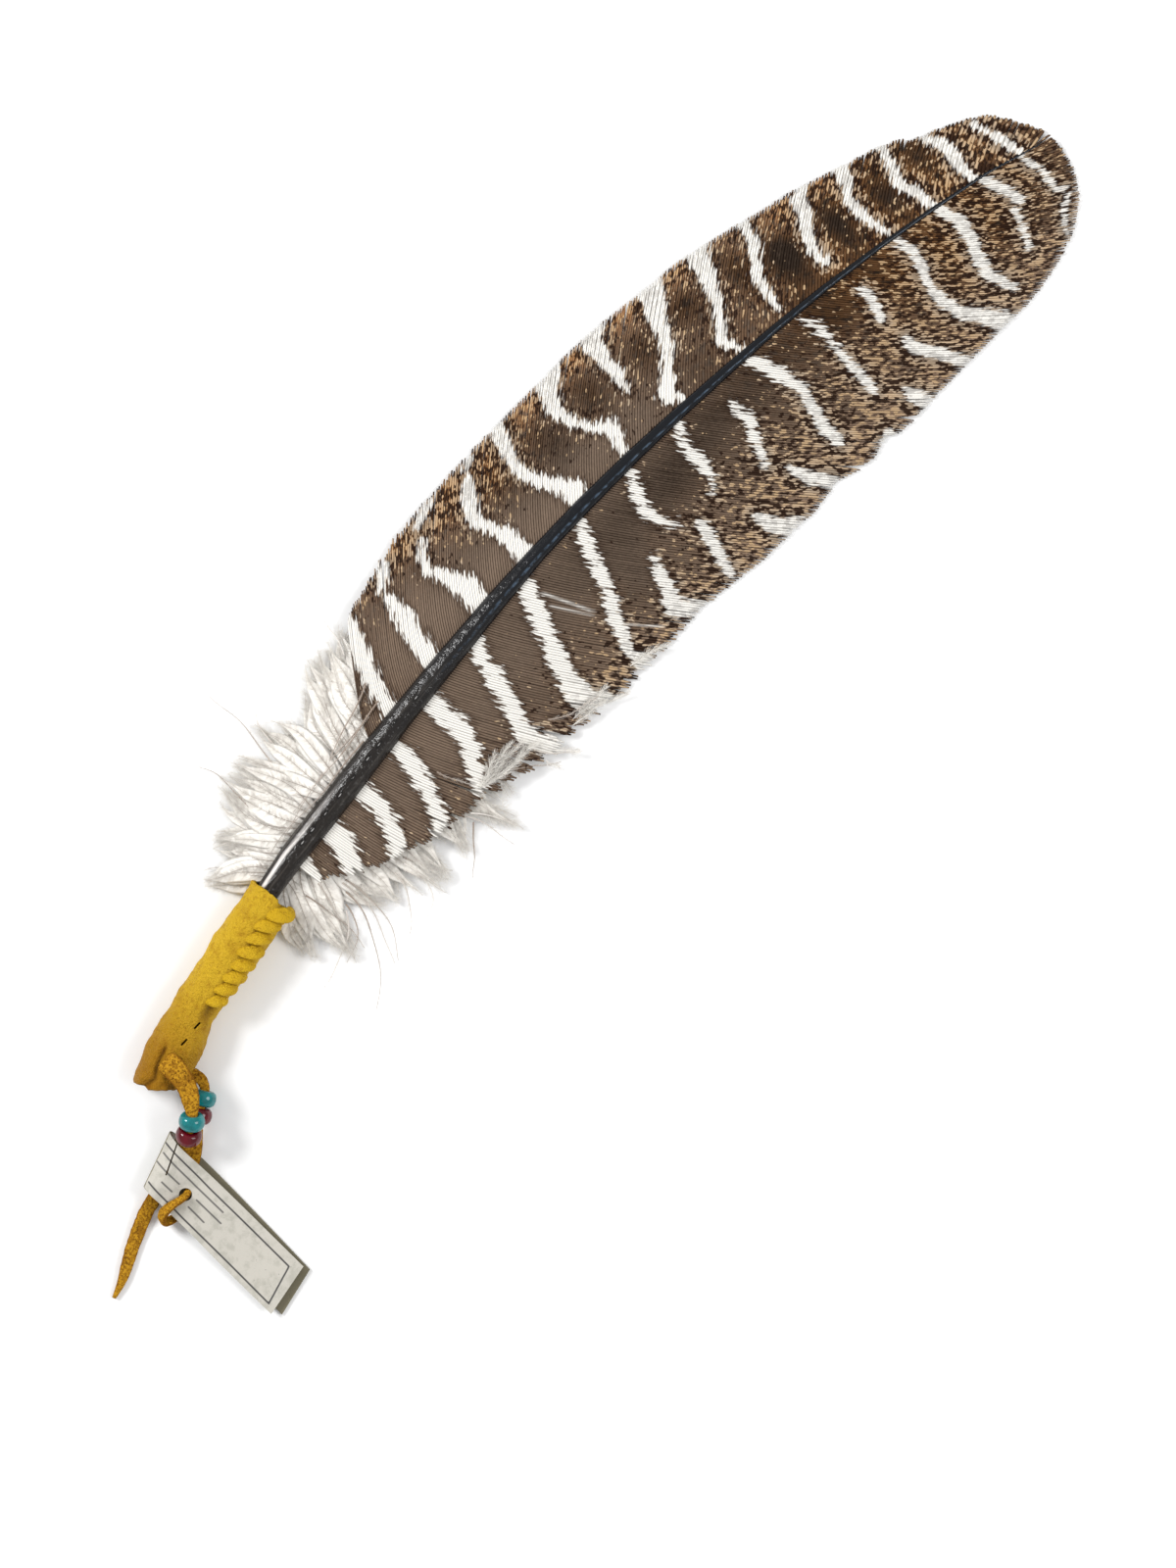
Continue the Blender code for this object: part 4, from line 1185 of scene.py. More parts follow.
def hair_mesh(name, paths, radii, sides, tones, flat=1.0):
    """Thin tapered tubes along the paths, as one joined mesh. Each has its tone."""
    count, places = paths.shape[:2]
    strip = tube_mesh(name, sides, places - 1)
    corners = local_points(strip)
    ring = ring_numbers(corners, places - 1)
    ahead = unit(np.gradient(paths, axis=1))
    across = unit(np.cross(np.array((0.0, 0.0, 1.0)), ahead) + 1e-6)
    above = np.cross(ahead, across)
    mesh = copied_mesh(strip, count)
    thick = radii[:, ring][..., None]
    points = paths[:, ring] + thick * (
        across[:, ring] * corners[None, :, :1] + above[:, ring] * corners[None, :, 1:2] * flat
    )
    points = points.reshape(-1, 3)
    points[:, 2] = np.maximum(points[:, 2], LOWEST_HAIR)
    move_points(mesh, to_row(points))
    share = np.tile(ring / (places - 1), (count, 1))
    level = np.repeat(tones[:, None], len(ring), axis=1)
    chance = np.repeat(np.random.default_rng(count).random((count, 1)), len(ring), axis=1)
    add_vector(mesh, "fluff", level, chance, share)
    add_bake_uv(mesh, plan_of(points, (-58, 40), (28, 126)))
    smooth_shaded(mesh)
    return mesh


def fluff_paths(rami, spacing, length, rng, spread=DOWN_SPREAD):
    """Barbules along both sides of every ramus, three points each."""
    chosen = []
    for ramus in rami:
        steps = np.linalg.norm(np.diff(ramus, axis=0), axis=1)
        total = steps.sum()
        travelled = np.concatenate([[0.0], np.cumsum(steps)]) / total
        count = int(total / spacing) * 2
        share = np.sort(rng.uniform(0.03, 1.0, count))
        further = np.minimum(share + 0.02, 1.02)
        roots = np.stack([np.interp(share, travelled, axis) for axis in ramus.T], axis=1)
        ends = np.stack([np.interp(further, travelled, axis) for axis in ramus.T], axis=1)
        ahead = unit(ends - roots + 1e-5)
        turn = np.radians(rng.uniform(*spread, count)) * np.where(np.arange(count) % 2, 1, -1)
        away_x = ahead[:, 0] * np.cos(turn) - ahead[:, 1] * np.sin(turn)
        away_y = ahead[:, 0] * np.sin(turn) + ahead[:, 1] * np.cos(turn)
        away = np.stack([away_x, away_y, ahead[:, 2] + rng.normal(0, 0.16, count)], axis=1)
        reach = length * (0.45 + 0.55 * np.sin(math.pi * share**0.8)) * rng.uniform(0.5, 1.15, count)
        middle = roots + 0.5 * reach[:, None] * away
        onward = unit(away + 0.9 * ahead + rng.normal(0, 0.25, (count, 3)))
        tips = middle + 0.5 * reach[:, None] * onward
        chosen.append(np.stack([roots, middle, tips], axis=1))
    return np.concatenate(chosen)


def down_rami(side, table, count, rng):
    """The down's main barbs on one side of the shaft."""
    rows = np.array(table, dtype=float)
    starts = np.linspace(rows[0, 0], rows[-1, 0], count) + rng.normal(0, 0.3, count)
    tips = np.stack([np.interp(starts, rows[:, 0], rows[:, i]) for i in (1, 2)], axis=1)
    roots = np.stack(
        [column(SHAFT, starts, 1) + side * 0.3 * column(SHAFT, starts, 3), starts], axis=1
    )
    run = tips - roots
    run *= rng.uniform(0.72, 1.04, count)[:, None]
    bend = np.stack([-run[:, 1], run[:, 0]], axis=1) * rng.normal(-0.05 * side, 0.14, count)[:, None]
    tips = roots + run
    clump = np.cumsum(rng.random(count) < 0.24)
    shift = rng.normal(0, 2.0, (count + 1, 2))[clump]
    for number in np.unique(clump):
        chosen = clump == number
        tips[chosen] += 0.65 * (tips[chosen].mean(axis=0) - tips[chosen])
    tips += shift + rng.normal(0, 0.6, (count, 2))
    bend += 0.08 * np.linalg.norm(run, axis=1)[:, None] * rng.normal(0, 1, (count + 1, 2))[clump]
    mids = roots + 0.5 * run + bend
    top = column(SHAFT, starts, 2)
    root_z = top + (rng.uniform(-2.5, 0.9, count) if side < 0 else rng.uniform(-3.6, -1.0, count))
    mid_z = root_z * 0.7 + rng.uniform(-0.8, 1.0, count) * (1.0 if side < 0 else 0.4)
    tip_z = rng.uniform(0.5, 2.6, count)
    return (
        np.column_stack([roots, root_z]),
        np.column_stack([mids, mid_z]),
        np.column_stack([tips, tip_z]),
    )


def down_material(settings):
    """Soft off-white fluff with grey brown shafts."""
    finish = Finish("down_fluff", 0.85, 0.05)
    tone, chance, share = finish.stored("fluff")
    level = finish.plus(tone, finish.times(chance, 0.16), clamp=True)
    level = finish.times(level, finish.less(1.0, finish.times(share, 0.35)))
    shades = finish.step(finish.noise(finish.place(), 0.8, 5, 0.7), 0.46, 0.70)
    level = finish.plus(level, finish.times(shades, 0.16), clamp=True)
    finish.colour(finish.mix(level, settings.white, settings.grey))
    return finish.material


# ------------------------------------------------------------------------ the handle

# The crease where the leather's end folds over: x, y.
HANDLE_FOLD = ((-4.8, 8.6), (-3.6, 5.0), (-1.6, 2.0), (-2.2, -0.6), (-3.6, -3.4))
# Unevenness of the leather: height, size and seed of each wave.
LEATHER_WAVES = ((0.30, 17.0, 21), (0.15, 5.0, 22), (0.05, 1.6, 23))
# The seam starts at this y, and spreads so many degrees round the handle.
SEAM_START = 18.0
SEAM_SPREAD = 9.0
SEAM_DEPTH = 0.45
SEAM_LIP = 0.25
LEATHER_LOWEST = 0.06
PORE = (0.13, 0.05, 0.002)
# Painted shade in the sunken seam and in the fold.
SEAM_AND_FOLD_SHADE = (0.10, 0.042, 0.002)
# Places along the handle, from its open end, between which the worn ochre gives way.
WORN_END = (-149.0, -118.0)
WRAP_SIDES = 112
WRAP_LENGTHS = 170


def handle_rings(count):
    rows = np.array([(*left, *right) for left, right in WRAP_RINGS[::-1]], dtype=float)
    middle = 0.5 * (rows[:, 1] + rows[:, 3])
    wanted = np.linspace(middle[-1], middle[0], count)
    return np.stack([np.interp(wanted, middle, rows[:, i]) for i in range(4)], axis=1)


HANDLE_RINGS = handle_rings(WRAP_LENGTHS + 1)


def on_handle(y, degrees, lift):
    """Places on the handle's side, lift millimetres off the leather."""
    middle = 0.5 * (HANDLE_RINGS[:, 1] + HANDLE_RINGS[:, 3])[::-1]
    left_x, left_y, right_x, right_y = (
        np.interp(y, middle, HANDLE_RINGS[::-1, i]) for i in range(4)
    )
    angle = np.radians(degrees)
    half_x, half_y = 0.5 * (right_x - left_x), 0.5 * (right_y - left_y)
    half = np.hypot(half_x, half_y)
    grown = 1 + lift / half
    x = 0.5 * (left_x + right_x) + half_x * grown * np.cos(angle)
    plan_y = y + half_y * grown * np.cos(angle)
    z = WRAP_AXIS_HEIGHT + (WRAP_HALF_HEIGHT + lift) * np.sin(angle)
    return np.stack([x, plan_y, z], axis=-1)


def seam_angle(y):
    """Degrees round the handle where the seam runs."""
    rows = np.array(STITCHES)[::-1]
    return np.interp(y, rows[:, 0], rows[:, 1])


def slit_tools():
    """A rounded block for each slit that the lace is threaded through."""
    for x, y, width, length in WRAP_SLITS:
        bm = bmesh.new()
        bmesh.ops.create_cube(bm, size=1.0)
        bmesh.ops.bevel(
            bm, geom=bm.edges[:], offset=0.12, segments=2, profile=0.5, affect="EDGES", material=-1
        )
        bmesh.ops.scale(bm, verts=bm.verts, vec=(width * MM, length * MM, 4 * MM))
        place = (x, y, WRAP_AXIS_HEIGHT + WRAP_HALF_HEIGHT)
        bmesh.ops.translate(bm, verts=bm.verts, vec=to_row(place))
        yield bm


def handle_lift(rough, y, degrees):
    """How far the leather bulges out from the plain handle at each place."""
    lift = sum(height * ripple(rough, size, seed) for height, size, seed in LEATHER_WAVES)
    seam = (degrees - seam_angle(y)) / SEAM_SPREAD
    from_seam = ramp(y, SEAM_START, SEAM_START + 5)
    lift -= SEAM_DEPTH * bell(seam) * from_seam
    lift += SEAM_LIP * bell(seam - 2.2) * from_seam
    lift += 0.35 * bell(y - 50.8, 1.4) * (1 + ripple(rough, 8.0, 31))
    lift += 0.3 * bell(y - 0.5, 2.0) * (0.5 + ripple(rough, 9.0, 33))
    fold = line_distance(rough[:, :2], HANDLE_FOLD)
    upper = rough[:, 2] > WRAP_AXIS_HEIGHT
    return lift + upper * (0.35 * bell(fold - 1.6, 0.9) - 0.6 * bell(fold, 0.5))


def handle_mesh(settings):
    strip = tube_mesh("handle_wrap", WRAP_SIDES, WRAP_LENGTHS, caps=False)
    corners = local_points(strip)
    middle = 0.5 * (HANDLE_RINGS[:, 1] + HANDLE_RINGS[:, 3])
    y = middle[WRAP_LENGTHS - ring_numbers(corners, WRAP_LENGTHS)]
    # Seen along the prism, across is -X so that the surface faces outwards.
    degrees = np.degrees(np.arctan2(corners[:, 1], -corners[:, 0]))
    rough = on_handle(y, degrees, 0.0)
    points = on_handle(y, degrees, handle_lift(rough, y, degrees))
    ends = bell(y - middle[0], 2.5) + bell(y - middle[-1], 2.5)
    points[:, 1] += 0.55 * ends * ripple(rough * (1, 0, 1), 9.0, 41)
    points[:, 2] = np.maximum(points[:, 2], LEATHER_LOWEST)
    move_points(strip, to_row(points))
    mesh = cut_shell("handle_wrap", strip, settings.wall, -1.0, slit_tools())

    placed = local_points(mesh) / MM - LAYOUT_SHIFT
    height = placed[:, 2] - WRAP_AXIS_HEIGHT
    middle_x = 0.5 * (HANDLE_RINGS[::-1, 0] + HANDLE_RINGS[::-1, 2])
    turn = np.arctan2(height, placed[:, 0] - np.interp(placed[:, 1], middle[::-1], middle_x))
    # Where the seam and the fold lie, which the material darkens as painted shade.
    away = (np.degrees(turn) - seam_angle(placed[:, 1])) / 17.0
    sunk = bell(away) * ramp(placed[:, 1], SEAM_START, SEAM_START + 4)
    creased = bell(line_distance(placed[:, :2], HANDLE_FOLD), 0.45) * (height > 0)
    add_vector(mesh, "leather", sunk, creased)
    smooth_shaded(mesh)
    return mesh


def leather_material(name, settings, body, worn):
    """Soft smooth leather with a fine grain, creases and rubbed darker areas, and painted shade in its
    creases, its sunken seam and its fold.
    """
    finish = Finish(name, 0.55, 0.14)
    place = finish.place()
    y = finish.split(place)[1]
    sunk, creased, _ = finish.stored("leather")
    grain = finish.add("ShaderNodeTexVoronoi", {"Vector": place, "Scale": 2.4, "Randomness": 1.0})
    clouds = finish.noise(place, 0.16, 4, 0.6)
    creases = finish.noise(place, 0.75, 5, 0.7)
    pores = finish.noise(place, 2.2, 3, 0.7)
    rubbed = finish.times(finish.step(clouds, 0.50, 0.72), 0.35)
    share = finish.plus(finish.times(finish.fade(y, *WORN_END), 0.85), rubbed, clamp=True)
    colour = finish.mix(share, body, worn)
    # Painted shade in the creases' valleys, where the bump sinks.
    colour = finish.stained(colour, finish.step(creases, 0.49, 0.34), 0.45, settings.ochre_and_crease_shade)
    colour = finish.stained(colour, finish.step(pores, 0.60, 0.74), 0.55, PORE)
    # Painted shade in the sunken seam and the fold.
    colour = finish.stained(colour, finish.calc("MAXIMUM", sunk, creased), 0.75, SEAM_AND_FOLD_SHADE)
    finish.colour(colour)
    finish.bump(finish.plus(finish.times(grain, 0.35), creases), 0.7, 1.1)
    finish.roughness(finish.plus(0.42, finish.times(clouds, 0.28)))
    return finish.material


STITCH_SIDES = 20
STITCH_RINGS = 26
STITCH_LENGTH = 3.6
STITCH_HALF_WIDTH = 1.85
STITCH_HALF_THICKNESS = 0.85


def stitch_points(corners, y, degrees, size):
    """One fat lobe of lace over the seam, tucked into the leather at both ends."""
    t = np.linspace(0.0, 1.0, STITCH_RINGS + 1)
    bow = np.sin(math.pi * t) ** 0.55
    angles = degrees + STITCH_SWING * size * (1 - 2 * t)
    path = on_handle(y + (t - 0.5) * STITCH_LENGTH * size, angles, -1.0 + STITCH_RISE * size * bow)
    sides, ups = tube_frames(path, (0.0, -1.0, 0.0))
    ring = ring_numbers(corners, STITCH_RINGS)
    width = STITCH_HALF_WIDTH * size * (0.35 + 0.65 * bow)[ring]
    thick = STITCH_HALF_THICKNESS * (0.5 + 0.5 * bow)[ring]
    points = (
        path[ring]
        + sides[ring] * (corners[:, 0] * width)[:, None]
        + ups[ring] * (corners[:, 1] * thick)[:, None]
    )
    return points + 0.10 * ripple(points, 2.4, int(y))[:, None] * ups[ring]


def stitches_mesh():
    strip = tube_mesh("seam_stitches", STITCH_SIDES, STITCH_RINGS)
    corners = local_points(strip)
    mesh = copied_mesh(strip, len(STITCHES))
    points = [stitch_points(corners, *stitch) for stitch in STITCHES]
    move_points(mesh, to_row(np.concatenate(points)))
    smooth_shaded(mesh)
    return mesh


# ------------------------------------------------------------------------- the laces

LACE_SIDES = 24
LACE_RINGS = 220
LACE_ROUNDNESS = 0.62
LACE_LOWEST = 0.08
LACE_FLECK = (0.07, 0.026, 0.004)


def lace_mesh(name, route):
    """The lace along its route, and the path of its middle."""
    rows = smooth_table(route, LACE_RINGS + 1)
    path = rows[:, :3]
    sides, ups = tube_frames(path, (0.0, 1.0, 0.0))
    mesh = tube_mesh(name, LACE_SIDES, LACE_RINGS)
    corners = local_points(mesh)
    ring = ring_numbers(corners, LACE_RINGS)
    over, up = (np.sign(corners[:, i]) * np.abs(corners[:, i]) ** LACE_ROUNDNESS for i in (0, 1))
    rough = path[ring] + sides[ring] * over[:, None]
    width = 0.5 * rows[ring, 3] * (1 + 0.06 * ripple(rough, 5.0, 51) + 0.03 * ripple(rough, 1.4, 52))
    thick = 0.5 * rows[ring, 4] * (1 + 0.10 * ripple(rough, 3.0, 53))
    points = path[ring] + sides[ring] * (over * width)[:, None] + ups[ring] * (up * thick)[:, None]
    points[:, 2] = np.maximum(points[:, 2], LACE_LOWEST)
    move_points(mesh, to_row(points))
    add_vector(mesh, "lace", over)
    smooth_shaded(mesh)
    return mesh, path


def lace_material(settings):
    """Suede with a darker brown nap and flecks."""
    finish = Finish("suede_lace", 0.9, 0.04)
    place = finish.place()
    over = finish.stored("lace")[0]
    nap = finish.noise(place, 1.6, 5, 0.75)
    flecks = finish.noise(place, 2.1, 3, 0.6)
    rubbed = finish.noise(place, 0.22, 3, 0.6)
    share = finish.plus(finish.step(nap, 0.45, 0.58), finish.step(rubbed, 0.52, 0.72), clamp=True)
    colour = finish.stained(settings.tan, share, 0.72, settings.brown)
    colour = finish.stained(colour, finish.step(flecks, 0.53, 0.62), 0.75, LACE_FLECK)
    rim = finish.step(finish.calc("ABSOLUTE", over), 0.80, 1.0)
    finish.colour(finish.stained(colour, rim, 0.75, settings.brown))
    finish.bump(nap, 0.3, 0.8)
    return finish.material


def bead_mesh(name, radius, centre, axis):
    """A turned glass bead: a rounded barrel with a bore, faintly ribbed by its winding."""
    half = 0.5 * BEAD_LENGTH
    lip = BEAD_BORE + BEAD_LIP
    profile = [(BEAD_BORE, -half * BEAD_COUNTERSINK)]
    for step in range(BEAD_STEPS + 1):
        angle = math.pi * (step / BEAD_STEPS - 0.5)
        bulge = abs(math.cos(angle)) ** BEAD_ROUNDNESS
        profile.append((lip + (radius - lip) * bulge, half * math.sin(angle)))
    profile.append((BEAD_BORE, half * BEAD_COUNTERSINK))
    bm = bmesh.new()
    verts = [bm.verts.new((r, 0.0, z)) for r, z in profile]
    edges = [bm.edges.new((a, b)) for a, b in zip(verts, verts[1:] + verts[:1])]
    turned = {"axis": (0, 0, 1), "cent": (0, 0, 0), "angle": 2 * math.pi, "use_merge": True}
    bmesh.ops.spin(bm, geom=verts + edges, steps=BEAD_SIDES, **turned)
    bmesh.ops.remove_doubles(bm, verts=bm.verts, dist=0.001)
    bmesh.ops.recalc_face_normals(bm, faces=bm.faces)
    for vert in bm.verts:
        if math.hypot(vert.co.x, vert.co.y) > BEAD_BORE + 0.5:
            turn = math.atan2(vert.co.y, vert.co.x)
            grown = 1 + BEAD_RIB * math.sin(vert.co.z * 9.0 + turn)
            vert.co.x *= grown
            vert.co.y *= grown
    leaned = Vector((0, 0, 1)).rotation_difference(Vector(axis)).to_matrix().to_4x4()
    moved = Matrix.Translation(Vector(to_row(centre))) @ leaned @ Matrix.Scale(MM, 4)
    bmesh.ops.transform(bm, matrix=moved, verts=bm.verts)
    mesh = mesh_from(bm, name)
    smooth_shaded(mesh)
    return mesh


def glass_material(name, colour):
    """Opaque glass with a faint swirl under a clear gloss."""
    finish = Finish(name, 0.10, 0.3)
    swirl = finish.noise(finish.place(), 0.5, 3, 0.5)
    deeper = tuple(0.62 * level for level in colour)
    finish.colour(finish.mix(finish.step(swirl, 0.35, 0.68), deeper, colour))
    finish.shader.inputs["Coat Weight"].default_value = 0.25
    finish.shader.inputs["Coat Roughness"].default_value = 0.05
    return finish.material


# --------------------------------------------------------------------------- the tag

TAG_LENGTHS = 320
TAG_WIDTHS = 60
TAG_LOWEST = 0.2
# Where the front layer is pulled up round the hole: place, reach across and along, height.
TAG_PUCKER = (23.5, -15.2, 2.2, 3.4, 0.55)
# The printed border and the short ruled lines: x, y of their corners.
TAG_LINES = (
    ((9.6, -7.2), (25, -7.9), (50.6, -8.3), (53.2, -17.7), (25.4, -17.1), (13.8, -16.4)),
)
RULED_LINES = (
    ((11.6, -9.2), (22.0, -9.7), (31.0, -9.8)),
    ((11.6, -11.7), (19.2, -11.9)),
    ((24.6, -11.9), (32.4, -12.0)),
    ((16.0, -14.2), (19.2, -14.3)),
    ((24.4, -14.3), (29.4, -14.5)),
)
CARD_STAIN = (0.36, 0.35, 0.30)
CARD_FIBRE = (0.30, 0.29, 0.26)
CARD_SCUFF = (0.18, 0.18, 0.17)


def hole_tool(centre, radius, low, high):
    bm = bmesh.new()
    size = {"radius1": radius * MM, "radius2": radius * MM, "depth": (high - low) * MM}
    bmesh.ops.create_cone(bm, cap_ends=True, segments=40, **size)
    bmesh.ops.translate(bm, verts=bm.verts, vec=to_row((*centre, 0.5 * (low + high))))
    return bm


def slit_tool(ends, width, low, high):
    start, end = (np.array(point, dtype=float) for point in ends)
    run = end - start
    bm = bmesh.new()
    bmesh.ops.create_cube(bm, size=1.0)
    size = (float(np.linalg.norm(run)) * MM, width * MM, (high - low) * MM)
    turned = Matrix.Rotation(math.atan2(run[1], run[0]), 4, "Z") @ Matrix.Diagonal((*size, 1.0))
    middle = to_row((*(0.5 * (start + end)), 0.5 * (low + high)))
    bmesh.ops.transform(bm, matrix=Matrix.Translation(Vector(middle)) @ turned, verts=bm.verts)
    return bm


def tag_mesh(settings):
    """The folded card, cut through its front layer, and its print."""
    rows = smooth_table(TAG, TAG_LENGTHS + 1)
    bm = bmesh.new()
    bmesh.ops.create_grid(bm, x_segments=TAG_LENGTHS, y_segments=TAG_WIDTHS, size=0.5)
    sheet = mesh_from(bm, "tag_card")
    corners = local_points(sheet)
    ring = np.clip(np.rint((corners[:, 0] + 0.5) * TAG_LENGTHS), 0, TAG_LENGTHS).astype(int)
    share = (0.5 - corners[:, 1])[:, None]
    points = rows[ring][:, (0, 1, 2)] * (1 - share) + rows[ring][:, (3, 4, 2)] * share
    x, y, reach_x, reach_y, height = TAG_PUCKER
    apart = ((points[:, 0] - x) / reach_x) ** 2 + ((points[:, 1] - y) / reach_y) ** 2
    front = ring > TAG_LENGTHS * 0.55
    points[:, 2] += (0.07 * ripple(points, 18.0, 61) + height * np.exp(-apart)) * front
    points[:, 2] = np.maximum(points[:, 2], TAG_LOWEST)
    move_points(sheet, to_row(points))
    tools = (
        hole_tool(TAG_HOLE[:2], TAG_HOLE[2], 1.8, 9.0),
        slit_tool(TAG_SLIT, TAG_SLIT_WIDTH, 4.4, 9.0),
    )
    mesh = cut_shell("tag_card", sheet, settings.thickness, 0.0, tools)

    placed = local_points(mesh) / MM - LAYOUT_SHIFT
    upward = np.empty(len(mesh.vertices) * 3)
    mesh.vertex_normals.foreach_get("vector", upward)
    printed = (upward.reshape(-1, 3)[:, 2] > 0.4) & (placed[:, 2] > 1.0)
    # Points that take no print are set well away from its lines.
    border, ruled = (
        np.min([line_distance(placed[:, :2], line) for line in lines], axis=0) + 9.0 * ~printed
        for lines in (TAG_LINES, RULED_LINES)
    )
    add_vector(mesh, "print", border, ruled, printed * 1.0)
    return mesh


def tag_material(settings):
    """Off-white card with a thin border line, plain ruled lines and grey scuffs, and a dark greenish brown
    painted over its back layer and edges as painted shade under the front layer.
    """
    finish = Finish("tag_card", 0.75, 0.1)
    place = finish.place()
    border, ruled, printed = finish.stored("print")
    fibres = finish.noise(place, 3.0, 4, 0.7)
    stains = finish.noise(place, 0.35, 4, 0.65)
    scuffs = finish.noise(place, 1.3, 3, 0.6)
    colour = finish.stained(settings.card, finish.step(stains, 0.45, 0.65), 0.55, CARD_STAIN)
    colour = finish.stained(colour, finish.step(fibres, 0.56, 0.72), 0.22, CARD_FIBRE)
    colour = finish.stained(colour, finish.step(scuffs, 0.66, 0.74), 0.6, CARD_SCUFF)
    # Painted shade over the back layer and the edges, which take no print.
    colour = finish.stained(colour, finish.less(1.0, printed), 0.85, settings.back_layer_shade)
    colour = finish.stained(colour, finish.fade(border, 0.13, 0.28), 0.9, settings.ink)
    colour = finish.stained(colour, finish.fade(ruled, 0.12, 0.30), 0.75, settings.ink)
    finish.colour(colour)
    finish.bump(fibres, 0.08, 0.5)
    return finish.material


# ------------------------------------------------------------------------- operators


class FEATHER_OT_stage(bpy.types.Operator):
    """Makes the camera, the pale floor and the soft lights"""

    bl_idname = "feather.stage"
    bl_label = "Stage"

    def execute(self, context):
        scene = context.scene
        settings = scene.stage_settings
        scene.view_settings.view_transform = "Standard"
        centre = to_row((*VIEW_CENTRE, 0.0))
        lens = bpy.data.cameras.new("camera")
        lens.sensor_width = SENSOR
        lens.lens = SENSOR * CAMERA_HEIGHT / VIEW_HEIGHT
        camera = linked("camera", lens)
        camera.location = (centre[0], centre[1], CAMERA_HEIGHT)
        camera.rotation_euler = (0.0, 0.0, VIEW_LEAN)
        scene.camera = camera
        self.add_floor(settings, centre)
        powers = {"key": settings.key_power, "fill": settings.fill_power}
        for name, offset, size in LIGHTS:
            self.add_light(name, centre, offset, size, powers[name])
        world = bpy.data.worlds.new("studio")
        world.use_nodes = True
        background = world.node_tree.nodes["Background"]
        background.inputs["Color"].default_value = (1.0, 1.0, 1.0, 1.0)
        background.inputs["Strength"].default_value = settings.sky
        scene.world = world
        return {"FINISHED"}

    def add_floor(self, settings, centre):
        bm = bmesh.new()
        bmesh.ops.create_grid(bm, x_segments=1, y_segments=1, size=FLOOR_HALF)
        bmesh.ops.translate(bm, verts=bm.verts, vec=(centre[0], centre[1], -FLOOR_DROP))
        mesh = mesh_from(bm, "floor")
        finish = Finish("studio_floor", 0.9, 0.1)
        finish.colour(tuple(settings.floor))
        mesh.materials.append(finish.material)
        linked("floor", mesh)

    def add_light(self, name, centre, offset, size, power):
        data = bpy.data.lights.new(name, "AREA")
        data.shape = "DISK"
        data.size = size
        data.energy = power
        light = linked(name, data)
        light.location = Vector((centre[0], centre[1], 0.0)) + Vector(offset)
        light.rotation_euler = Vector(offset).to_track_quat("Z", "Y").to_euler()


class FEATHER_OT_laces(bpy.types.Operator):
    """Makes the two hanging ends of suede lace"""

    bl_idname = "feather.laces"
    bl_label = "Laces"

    def execute(self, context):
        material = lace_material(context.scene.lace_settings)
        for name, route, pieces in (
            ("lace_front", LACE_FRONT, ("bead_turquoise_front", "bead_red_front", "tag")),
            ("lace_back", LACE_BACK, ("bead_turquoise_back", "bead_red_back")),
        ):
            mesh, path = lace_mesh(name + "_suede", route)
            lace = add_piece(name + "_suede", mesh, material, name, "suede_lace")
            line = to_row(path)
            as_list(pieces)
        return {"FINISHED"}


class FEATHER_OT_beads(bpy.types.Operator):
    """Makes the four glass beads on the laces"""

    bl_idname = "feather.beads"
    bl_label = "Beads"

    def execute(self, context):
        settings = context.scene.lace_settings
        materials = {
            "turquoise_bead": glass_material("turquoise_glass", settings.turquoise),
            "red_bead": glass_material("red_glass", settings.red),
        }
        for name, slot, route, place in BEADS:
            rows = np.array(route, dtype=float)[:, :3]
            axis = unit(rows[place + 1] - rows[place - 1])
            mesh = bead_mesh(name + "_glass", settings.bead_radius / MM, rows[place], axis)
            add_piece(name + "_glass", mesh, materials[slot], name, slot)
        return {"FINISHED"}


class FEATHER_OT_tag(bpy.types.Operator):
    """Makes the folded card tag with its hole, slit and border line"""

    bl_idname = "feather.tag"
    bl_label = "Tag"

    def execute(self, context):
        settings = context.scene.tag_settings
        add_piece("tag_card", tag_mesh(settings), tag_material(settings), "tag", "tag_card")
        return {"FINISHED"}


class FEATHER_OT_handle(bpy.types.Operator):
    """Makes the leather handle with its slits and the lace whipped over its seam"""

    bl_idname = "feather.handle"
    bl_label = "Handle"

    def execute(self, context):
        settings = context.scene.handle_settings
        leather = leather_material("buckskin", settings, settings.yellow, settings.ochre_and_crease_shade)
        lace = leather_material("seam_buckskin", settings, settings.lace_yellow, settings.yellow)
        add_piece("handle_wrap", handle_mesh(settings), leather, "leather_wrap", "buckskin")
        add_piece("seam_stitches", stitches_mesh(), lace, "seam_lace", "seam_lace")
        return {"FINISHED"}


class FEATHER_OT_shaft(bpy.types.Operator):
    """Makes the dark shaft with its pits and grooves"""

    bl_idname = "feather.shaft"
    bl_label = "Shaft"

    def execute(self, context):
        material = shaft_material(context.scene.feather_settings)
        add_piece("shaft_horn", shaft_mesh(), material, "feather", "feather")
        return {"FINISHED"}


class FEATHER_OT_vanes(bpy.types.Operator):
    """Makes the wide and the narrow vane from overlapping barbs"""

    bl_idname = "feather.vanes"
    bl_label = "Vanes"

    def execute(self, context):
        settings = context.scene.feather_settings
        material = vane_material(settings)
        for name, side, edge, fan, splits, fray, bars in VANES:
            mesh = vane_mesh(name, side, edge, fan, splits, fray, bars, settings)
            add_piece(name, mesh, material, "feather", "feather")
        return {"FINISHED"}


